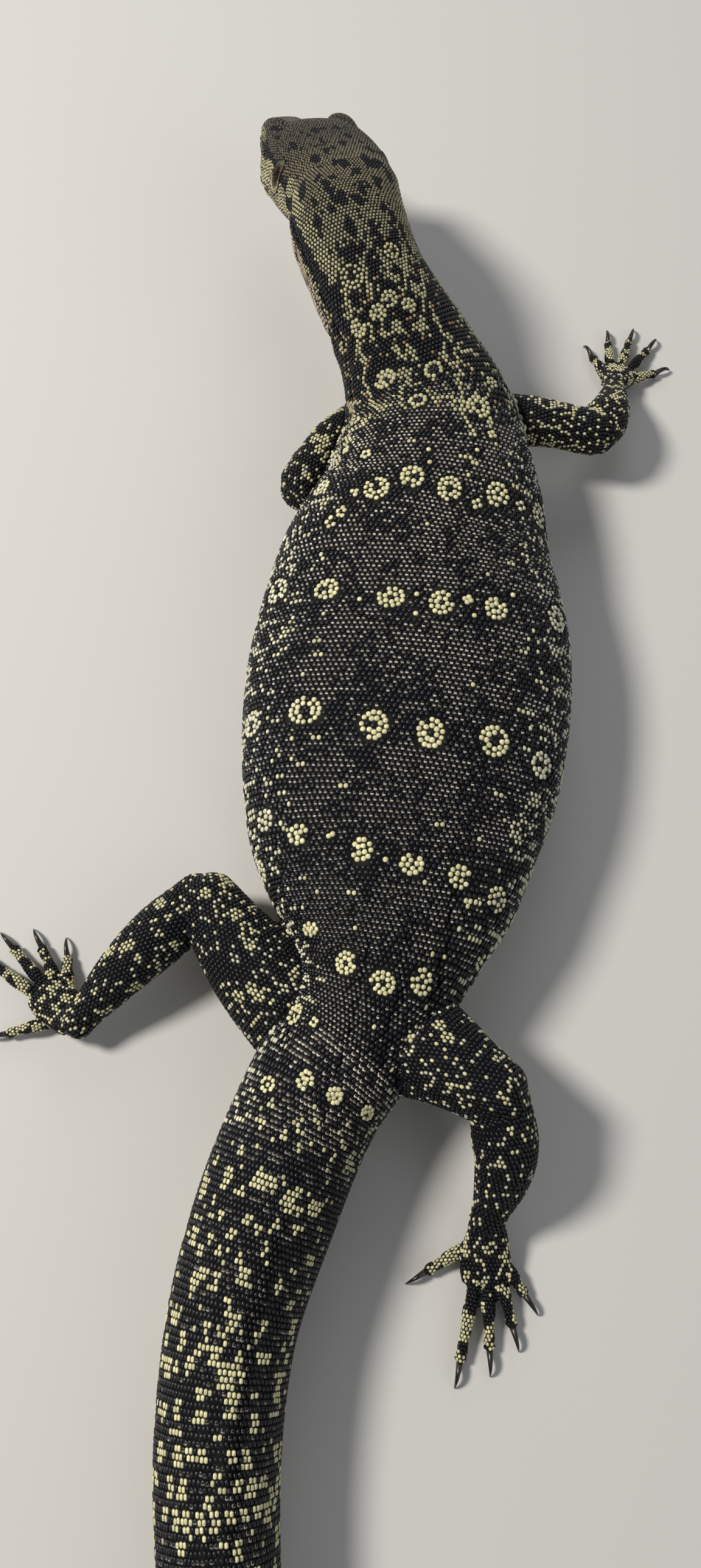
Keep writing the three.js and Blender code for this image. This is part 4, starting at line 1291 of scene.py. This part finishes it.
def paint_nape(g, colour, stroke):
    """From black with yellow on the neck to olive-brown with black blotches on the head."""
    s, arc, at, lumps, fine = g["s"], g["arc"], g["at"], g["lumps"], g["fine"]
    nape = s < 40
    ragged = 0.25 * fine + 0.15 * cloud(at, 1.1, 2)
    chains = cloud(np.stack([arc * 0.95, s * 0.42, 0 * s], 1), 1.0, 3)
    share = 0.96 - 0.96 * step(s + 3 * lumps, 0, 42)
    olive = mix(OLIVE, YELLOW * 0.46, step(s, 2, 24) * 0.8)
    olive = mix(olive, CROWN, 1 - step(s, -16, 2))
    olive = mix(olive, SNOUT, 1 - step(s, -40, -26))
    is_olive = nape & (0.5 + 0.62 * chains + 0.26 * (rng.random(len(s)) - 0.5) < share * 1.12 - 0.02)
    colour = painted(colour, (is_olive | (s < -14)) & ~stroke, olive)
    blotch = in_blocks(s, arc, HEAD_BLOTCHES, ragged - 0.2 * step(s, 4, 10), 2)
    blotch |= (cloud(at, 1.9, 5) > 0.42) & (s < 12) & (s > -26)
    return painted(colour, blotch & nape, BLACK * 1.5)


def paint_head_sides(g, colour):
    """Dark streak behind the eye, pale stripe behind the ear, cream cheek and barred throat."""
    s, at, side, fine = g["s"], g["at"], g["side"], g["fine"]
    under_arc = -np.abs(g["arc"])
    x, y, z = to_head(at).T
    cheek = (s < 1) & (z < 3.2 + 0.8 * fine) & (y < 49)
    streaks = cloud(np.stack([x * 0.5, y * 0.28, z * 1.3], 1), 1.1, 7)
    colour = painted(colour, cheek, mix(CREAM, SNOUT * 1.1, step(streaks, -0.05, 0.35) * 0.75))
    streak_z = 5.6 - 0.11 * (24 - y) - 0.004 * (24 - y) ** 2
    temple = (s < 2) & (y < 25.5) & (y > 4) & (np.abs(z - streak_z) < 0.95 + 0.35 * fine)
    colour = painted(colour, temple, BLACK * 2)
    patch = np.hypot((y - 15.5) / 3, (z - 2.9) / 1.5) < 1 + 0.3 * fine
    colour = painted(colour, patch & (s < 0), YELLOW * 0.62)
    lores = (y > 32) & (y < 47) & (np.abs(z - 0.9 - 0.02 * (y - 32)) < 0.75 + 0.4 * fine) & (np.abs(x) > 3)
    colour = painted(colour, lores, SNOUT * 0.35)
    stripe = in_strokes(s, under_arc, (NAPE_STRIPE,), 1.9) & (s > -4)
    colour = painted(colour, stripe, mix(YELLOW * 0.6, OLIVE, step(fine, -0.1, 0.5) * 0.7))

    edge = 0.57 - 0.15 * step(s, 2, 9) + 0.16 * step(s, 18, 40)
    throat = step(side, edge, edge + 0.08) * (1 - step(s, 30, 52))
    bands = cloud(np.stack([at[:, 0] * 0.3, s * 1.2, side * 3], 1), 3.4, 9)
    on_throat = rng.random(len(s)) * 0.6 + 0.2 < throat
    colour = painted(colour, on_throat, mix(THROAT, SNOUT * 0.9, step(bands, 0.08, 0.3) * 0.8))
    under = in_strokes(s, under_arc, (NAPE_UNDERLINE,), 1.7 + 0.6 * fine) & (s > -4)
    return painted(colour, under, BLACK * 2)


def paint_mouth_and_lids(g, colour):
    """Barred cream lips, and cream rims of the eyes that darken to the front and back."""
    x, y, z = to_head(g["at"]).T
    on_head = g["s"] < 0
    lips = on_head & (y > 17) & (np.abs(z - mouth_height(y)) < 1.7)
    bars = np.sin(y * 1.15 + 0.6) + 0.5 * g["fine"] > 0.75
    colour = painted(colour, lips, mix(CREAM * 0.85, SNOUT * 0.6, bars * 0.8))
    from_eye = np.hypot(y - EYE["y"], z - EYE["z"] + 0.2)
    rim = (np.abs(x) > EYE["x"] + 0.8) & (from_eye < 4.3) & on_head
    return painted(colour, rim, mix(YELLOW * 0.42, SNOUT * 0.7, step(np.abs(y - EYE["y"]), 1.6, 3.2)))


def paint_belly(g, colour):
    """Pale with dark bars that come in from the flanks, and pale uprights between the bars on the flanks."""
    s, side, fine = g["s"], g["side"], g["fine"]
    wave = np.sin(s * 2 * math.pi / BELLY_BAR + 0.8 * g["lumps"])
    belly = (side > 0.6 + 0.05 * fine + 0.05 * np.sin(s * 0.42)) & (s > 30)
    bar = wave > 0.35 + 2.4 * step(side, 0.7, 0.95)
    colour = painted(colour, belly, mix(BELLY, BLACK * 2, bar))
    flank = (side > 0.44) & (side <= 0.62) & (s > 58) & (s < 205)
    return painted(colour, flank & (wave < -0.1) & (g["chance"] < 0.45) & ~belly, PALE * 0.9)


def paint_tail(g, colour):
    """Oblong yellow marks, closest together in cross bands."""
    s, arc, side, lumps = g["s"], g["arc"], g["side"], g["lumps"]
    upper = s < 282
    tail = (s > 222) & (side < 0.75)
    phase = np.abs(((s - 240 + 2.5 * lumps) / TAIL_BAND + 0.5) % 1 - 0.5) * TAIL_BAND
    long, wide = np.where(upper, 3.3, 4.5), np.where(upper, 1.9, 2.6)
    cell = np.floor(s / long)
    across = (arc + 60) / wide + 0.5 * (cell % 2)
    pick = np.modf(np.abs(np.sin(cell * 12.9898 + np.floor(across) * 78.233)) * 43758.5453)[0]
    in_cell = ((s / long) % 1 < 0.35 + 0.55 * pick / 0.6) & (across % 1 < 0.72)
    dense = 0.4 + 0.4 * bump(phase, 4.2 + 0.006 * (s - 300))
    dense = np.where(upper, 0.1 + 0.13 * step(s, 250, 268) + 0.2 * step(side, 0.3, 0.5), dense)
    dense = np.where(s > 400, 0.12 + 0.85 * bump(phase, 5), dense)
    blocks = tail & in_cell & (pick < dense) & (s > 236)
    blocks |= in_blocks(s, arc, TAIL_BLOCKS, 0.2 * g["fine"] - 0.12) & (s > 221)
    blocks &= g["plain"]
    colour = painted(colour, blocks, YELLOW * 0.92)
    speck = tail & ~blocks & g["plain"] & (rng.random(len(s)) < 0.035)
    return painted(colour, speck, YELLOW * 0.7)


def varied(colour, lightest):
    """Colours that differ a little from scale to scale, and which of them are pale."""
    pale = colour.max(1) > 0.3
    colour[pale] *= rng.uniform(lightest, 1.1, pale.sum())[:, None]
    colour[~pale] *= rng.uniform(0.7, 1.35, (~pale).sum())[:, None]
    return colour, pale


def paint_trunk(g):
    """The colour of each scale of head, neck, torso and tail, and of its hind edge where that is pale."""
    s, arc = g["s"], g["arc"]
    g["side"] = np.abs(arc) / g["half"]
    g["chance"] = rng.random(len(s))
    g["lumps"], g["fine"] = cloud(g["at"], 7.5), cloud(g["at"], 2.6, 1)
    g["plain"] = g["mark"] < 0
    # painted shade of the neck: its yellow is darkened, less so towards the back, and not at all from s = 84
    g["dull_neck"] = (0.68 + 0.32 * step(s, 50, 84))[:, None]
    tip, tipped = hind_edges(g)
    colour = paint_spots(g, np.tile(BLACK, (len(s), 1)))
    colour, stroke = paint_neck(g, colour)
    colour = paint_nape(g, colour, stroke)
    # the pale rings of the round marks, with the painted shade of the neck
    colour = painted(colour, g["mark"] == 1, mix(YELLOW, PALE, step(np.abs(arc), 16, 34)) * g["dull_neck"])
    colour = painted(colour, g["mark"] == 0, BLACK)
    colour = paint_head_sides(g, colour)
    colour = paint_mouth_and_lids(g, colour)
    colour = paint_belly(g, colour)
    colour, pale = varied(paint_tail(g, colour), 0.82)
    return colour, tip, tipped & ~pale & (g["side"] < 0.6) & g["plain"]


def paint_leg(g, name):
    """Black with yellow spots of a scale or a few, paler beneath, and blotched on the toes."""
    at, count = g["at"], len(g["at"])
    fine = cloud(at, 2.2, 12)
    if name.startswith("toe"):
        spots = cloud(at, 2.3, 13) > 0.02
    elif name.startswith(("hand", "foot")):
        spots = (cloud(at, 1.8, 14) > 0.2) | seeded_spots(at, 0.06, (0.5, 0.9), (0.6, 0.4))
    else:
        share = 0.17 if name.startswith(("upper_arm", "forearm")) else 0.085
        spots = seeded_spots(at, share, (0.45, 0.95, 1.3), (0.87, 0.07, 0.06))
    colour = painted(np.tile(BLACK, (count, 1)), spots, YELLOW * 0.88)
    under = g["normal"][:, 2] < -0.35 + 0.3 * fine
    colour = painted(colour, under, mix(BELLY, BLACK * 2, step(fine, 0.12, 0.25)))
    colour, pale = varied(colour, 0.75)
    g["dot"] = ~pale & (rng.random(count) < 0.12) & (not name.startswith("toe"))
    colour = painted(colour, g["dot"], PALE * 0.8)
    return colour, colour, np.zeros(count, bool)


for name, group in parts.items():
    paint = paint_trunk(group) if name == "trunk" else paint_leg(group, name)
    group["colour"], group["tip"], group["tipped"] = paint
tinted = joined(*[{key: group[key] for key in ("at", "colour")} for group in parts.values()])
tinted_tree = tree_of(tinted["at"])


def nearest_colours(points):
    return tinted["colour"][[tinted_tree.find(p)[1] for p in points]]


fill = fill_bare()
fill["colour"] = fill["tip"] = nearest_colours(fill["at"])
fill["tipped"] = fill["dot"] = np.zeros(len(fill["at"]), bool)


# Scale meshes: each scale is a closed, domed plate. A form gives the number of its sides, how square it
# is, its height as a share of its size, and the width of its crown as a share of its foot.

FORMS = {
    "head": (6, 0.9, 0.2, 0.74),
    "back": (8, 0.9, 0.25, 0.66),
    "tail": (6, 0.6, 0.2, 0.72),
    "belly": (6, 0.55, 0.16, 0.78),
    "leg": (6, 0.95, 0.25, 0.68),
}
DOT_CROWN = 0.5  # the crown of a single pale scale
TIP_CROWN = 0.26  # the crown of a scale with a pale hind edge, along the scale
FLOOR_GAP = 0.03
UV_PATCH = 0.0015  # half the width of a scale's patch on the map


def bead_points(group, ring, hind, rise, crown):
    """The points of each plate: its foot, its shoulder and its top."""
    count, sides = len(group["at"]), len(ring)
    across = np.cross(group["lie"], group["normal"])
    on_tail = group["s"] > 225
    crown_gap = 1 - 0.1 * (1 - step(np.abs(group["s"] + 4), 20, 34))
    wide = group["wide"] * 0.5 * crown_gap
    long = group["long"] * np.where(on_tail, 0.54, 0.6) * crown_gap
    crest = step(group["s"], 222, 262) * (np.abs(group["arc"]) < 1.05 * group["wide"])
    high = rise * np.sqrt(group["wide"] * group["long"]) * (1 + 1.9 * crest)
    dot = group["dot"][:, None]
    short = np.where(group["tipped"][:, None] & hind, TIP_CROWN, np.full((count, sides), crown))
    short = np.where(dot, DOT_CROWN, short)

    def level(x, y, lift):
        return (group["at"][:, None] + across[:, None] * (x * wide[:, None])[..., None]
                + group["lie"][:, None] * (y * long[:, None])[..., None]
                + group["normal"][:, None] * (lift * high[:, None])[..., None])

    flat = np.ones((count, sides))
    narrow = np.where(dot, DOT_CROWN, crown) * flat
    foot = level(ring[:, 0] * flat, ring[:, 1] * flat, -0.25 * flat)
    shoulder = level(ring[:, 0] * narrow, ring[:, 1] * short, 0.78 * flat)
    middle = np.zeros((count, 1))
    return on_floor(np.concatenate([foot, shoulder, level(middle, middle, middle + 1)], 1), FLOOR_GAP)


def bead_corners(sides):
    """The corners of one plate's faces in turn: its foot, its walls and its top."""
    here = np.arange(sides)
    after = (here + 1) % sides
    walls = np.stack([here, after, after + sides, here + sides], 1)
    top = np.stack([here + sides, after + sides, np.full(sides, 2 * sides)], 1)
    return np.concatenate([here[::-1], walls.ravel(), top.ravel()])


def bead_tints(group, hind):
    """The colours of the corners: dark at the foot, painted as the shade where each scale meets the skin, and
    the pale hind edge where there is one.
    """
    body, tip, tipped, sides = group["colour"], group["tip"], group["tipped"][:, None], len(hind)
    # painted shade: the foot of each scale is a darker copy of its own colour
    foot = body * np.where(group["s"] < -5, 0.22, 0.14)[:, None] + BLACK * 0.6
    table = np.repeat(body[:, None], 8 * sides, axis=1)
    table[:, :sides] = foot[:, None]
    for i in range(sides):
        wall = sides + 4 * i
        table[:, wall:wall + 2] = foot[:, None]
        for corner, point in enumerate((i, i + 1, i + 1, i), wall):
            if hind[point % sides]:
                table[:, corner] = np.where(tipped, tip, table[:, corner])
    return table


def bead_piece(name, group, form, look, uv):
    """Many scales as one mesh, with the tint of every corner and the map of every scale."""
    sides, square, rise, crown = FORMS[form]
    angle = (np.arange(sides) + 0.5) / sides * 2 * math.pi
    ring = np.stack([power(np.cos(angle), square), power(np.sin(angle), square)], 1)
    hind = ring[:, 1] > (0.6 if sides == 8 else 0.3)
    points = bead_points(group, ring, hind, rise, crown)
    count, each = points.shape[:2]
    pattern = bead_corners(sides)
    corners = ((np.arange(count) * each)[:, None] + pattern).ravel()
    sizes = np.tile(np.concatenate([[sides], np.full(sides, 4), np.full(sides, 3)]), count)
    starts = np.concatenate([[0], np.cumsum(sizes)[:-1]])

    mesh = bpy.data.meshes.new(name)
    mesh.vertices.add(count * each)
    mesh.vertices.foreach_set("co", (points * MM).astype(np.float32).ravel())
    mesh.loops.add(len(corners))
    mesh.loops.foreach_set("vertex_index", corners.astype(np.int32))
    mesh.polygons.add(len(sizes))
    mesh.polygons.foreach_set("loop_start", starts.astype(np.int32))
    mesh.polygons.foreach_set("use_smooth", np.ones(len(sizes), bool))
    mesh.update(calc_edges=True)
    rgba = np.ones((len(corners), 4), np.float32)
    rgba[:, :3] = bead_tints(group, hind).reshape(-1, 3)
    mesh.color_attributes.new("tint", "FLOAT_COLOR", "CORNER").data.foreach_set("color", rgba.ravel())

    # the map: each scale is a small patch at its root's place on an unwrap of the body
    patch = np.concatenate([ring, ring * 0.68, [[0, 0]]])[pattern] * UV_PATCH
    places = (uv[:, None] + patch[None]).astype(np.float32)
    mesh.uv_layers.new(name="OFBake").data.foreach_set("uv", places.ravel())
    mesh.materials.append(look)
    piece = bpy.data.objects.new(name, mesh)
    bpy.context.scene.collection.objects.link(piece)
    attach(piece, "root")


def spread_uv(a, b, box=(0.02, 0.02, 0.98, 0.98)):
    """Two sets of numbers spread over a box of the map."""
    low_a, low_b = a.min(), b.min()
    u = (a - low_a) / max(a.max() - low_a, 1e-6)
    v = (b - low_b) / max(b.max() - low_b, 1e-6)
    return np.stack([box[0] + u * (box[2] - box[0]), box[1] + v * (box[3] - box[1])], 1)


# The pieces of the trunk's coat: name, form, and first and last place along the body
TRUNK_PIECES = (
    ("head", "head", -60, 2), ("neck", "back", 2, 62), ("back_1", "back", 62, 112),
    ("back_2", "back", 112, 160), ("back_3", "back", 160, 210), ("tail_1", "tail", 210, 300),
    ("tail_2", "tail", 300, 400), ("tail_3", "tail", 400, 700),
)
BELLY_PIECES = (("belly_1", 2, 110), ("belly_2", 110, 210))
BELLY_EDGE = 0.62
LEG_PIECES = {
    "front": ("upper_arm", "forearm", "hand", "toe_hand"),
    "hind": ("thigh", "shank", "foot", "toe_foot"),
}
MAP_COLUMNS = 4
MAP_EDGE = 0.01

trunk = parts["trunk"]
below = (np.abs(trunk["arc"] / trunk["half"]) > BELLY_EDGE) & (trunk["s"] > 2) & (trunk["s"] < 210)
for name, form, low, high in TRUNK_PIECES:
    group = take(trunk, (trunk["s"] >= low) & (trunk["s"] < high) & ~below)
    look, slot = (HEAD_LOOK, "head_skin") if name == "head" else (SCALE_LOOK, "scaly_skin")
    bead_piece(f"scales_{name}", group, form, look, spread_uv(group["s"], group["arc"] / group["half"]))
for name, low, high in BELLY_PIECES:
    group = take(trunk, below & (trunk["s"] >= low) & (trunk["s"] < high))
    uv = spread_uv(group["s"], (group["arc"] / group["half"]) % 2)
    bead_piece(f"scales_{name}", group, "belly", SCALE_LOOK, uv)
for end, words in LEG_PIECES.items():
    names = [name for name in parts if name.startswith(words)]
    rows = math.ceil(len(names) / MAP_COLUMNS)
    uvs = []
    for i, name in enumerate(names):
        x, y = (i % MAP_COLUMNS) / MAP_COLUMNS, (i // MAP_COLUMNS) / rows
        box = (x + MAP_EDGE, y + MAP_EDGE, x + 1 / MAP_COLUMNS - MAP_EDGE, y + 1 / rows - MAP_EDGE)
        uvs.append(spread_uv(parts[name]["s"], parts[name]["arc"] / parts[name]["half"], box))
    group = joined(*[parts[name] for name in names])
    bead_piece(f"scales_{end}_legs", group, "leg", SCALE_LOOK, np.concatenate(uvs))
fill_uv = spread_uv(fill["at"][:, 1], fill["at"][:, 0])
bead_piece("scales_folds", fill, "leg", SCALE_LOOK, fill_uv)


# The skin between the scales has their colours, darker, as painted shade in the gaps between them

# painted shade in the gaps: the skin keeps only a small share of the nearest scale's colour, a little more
# towards the snout
kept_light = 0.02 + 0.2 * step(to_head(skin_points)[:, 1:2], 6, 34)
skin_colour = nearest_colours(skin_points) * kept_light + BLACK * 0.8
ear, nostril, eye, mouth = head_features(to_head(skin_points))
# Painted shade in the openings: dark inside the ears, in the nostrils, in the skin right round and behind the
# eyeballs and along the line of the mouth.
skin_colour[ear < 1] = (0.055, 0.03, 0.026)
skin_colour[(ear >= 1) & (ear < 1.5)] = (0.1, 0.08, 0.05)
skin_colour[nostril < 1.1] = (0.02, 0.015, 0.015)
skin_colour[eye < 1.35] = (0.05, 0.04, 0.03)
skin_colour[np.abs(mouth) < 0.25] = (0.02, 0.017, 0.015)
paint_points(skin, skin_colour, SKIN_LOOK)
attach(skin, "root")
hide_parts(*[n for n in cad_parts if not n.startswith(("eye_", "claw_"))])


# Eyes

EYE_SIDES = 48
EYE_TURNS = np.concatenate([np.linspace(0.02, 0.9, 30), np.linspace(0.98, 3.12, 22)])
IRIS = np.array([0.034, 0.019, 0.01])
IRIS_EDGE = np.array([0.012, 0.009, 0.007])
GOLD = np.array([0.24, 0.15, 0.045])
PUPIL = np.array([0.004, 0.004, 0.005])


def eye_colours(turns):
    """The colours at angles from the middle of the eye: pupil, thin gold ring and dark brown iris."""
    colours = mix(IRIS, IRIS_EDGE, step(turns, 0.5, 0.75))
    colours = mix(colours, GOLD, bump(turns - 0.315, 0.035))
    return mix(colours, PUPIL, 1 - step(turns, 0.25, 0.28))


def make_eye(side, name):
    """An eyeball with a slightly raised cornea."""
    around = np.arange(EYE_SIDES) / EYE_SIDES * 2 * math.pi
    rings = []
    for turn in EYE_TURNS:
        radius = EYE["radius"] - 0.06 + 0.1 * math.exp(-(turn / 0.6) ** 2)
        across = radius * math.sin(turn)
        x = np.full(EYE_SIDES, radius * math.cos(turn) * side)
        rings.append(np.stack([x, across * np.cos(around) * side, across * np.sin(around)], 1))
    middle = np.array([side * EYE["x"], EYE["y"], EYE["z"]])
    rings = np.array(rings) @ turn_matrix(6 * side, 0, -4 * side).T + middle
    eye = mesh_object(f"eyeball_{name}", *closed(from_head(rings)))
    colours = eye_colours(EYE_TURNS)
    paint_points(eye, np.concatenate([np.repeat(colours, EYE_SIDES, axis=0), colours[[0, -1]]]), EYE_LOOK)
    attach(eye, "root")
    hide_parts(f"eye_{name}")


make_eye(-1, "left")
make_eye(1, "right")


# Claws

CLAW_RINGS = 17
CLAW_SIDES = 14
CLAW_ROOT = np.array([0.035, 0.026, 0.018])
CLAW_TIP = np.array([0.007, 0.006, 0.006])


def claw_rings(toe, leg):
    """A claw that springs from the end of a toe and curves down to the floor."""
    line = toe_line(toe, leg)
    tip, ahead = line[-1], unit(line[-1] - line[-3])
    level = unit(np.array([ahead[0], ahead[1], 0]))
    start = tip + ahead * GAP
    second = start + ahead * CLAW_LENGTH * 0.3
    third, end = tip + level * CLAW_LENGTH * 0.75, tip + level * CLAW_LENGTH
    second[2] = third[2] = tip[2] + 1
    end[2] = 0.2
    t = np.linspace(0, 1, CLAW_RINGS - 1)[:, None]
    curve = (1 - t) ** 3 * start + 3 * (1 - t) ** 2 * t * second + 3 * (1 - t) * t * t * third + t ** 3 * end
    curve = np.concatenate([(start - ahead * 1.2)[None], curve])
    radii = np.concatenate([[CLAW_RADIUS], CLAW_RADIUS * (1 - t[:, 0]) ** 0.75 + 0.1])
    rings = tube_rings(curve, radii, CLAW_SIDES, 0.7)
    return set_foot(on_floor(rings, 0.02), leg)


def make_claws(leg):
    """The five claws of a foot in one mesh, browner at the root."""
    toes = leg["foot"]["toes"]
    claws = mesh_object(f"claws_{leg['end']}_{leg['side']}", *merged([claw_rings(toe, leg) for toe in toes]))
    share = np.concatenate([np.repeat(np.linspace(0, 1, CLAW_RINGS), CLAW_SIDES), [0, 1]])
    colours = mix(CLAW_ROOT, CLAW_TIP, step(share, 0.1, 0.5))
    paint_points(claws, np.tile(colours, (len(toes), 1)), CLAW_LOOK)
    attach(claws, "root")
    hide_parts(*[f"claw_{leg['end']}_{leg['side']}_{i}" for i in range(1, 6)])


for leg in LEGS:
    make_claws(leg)
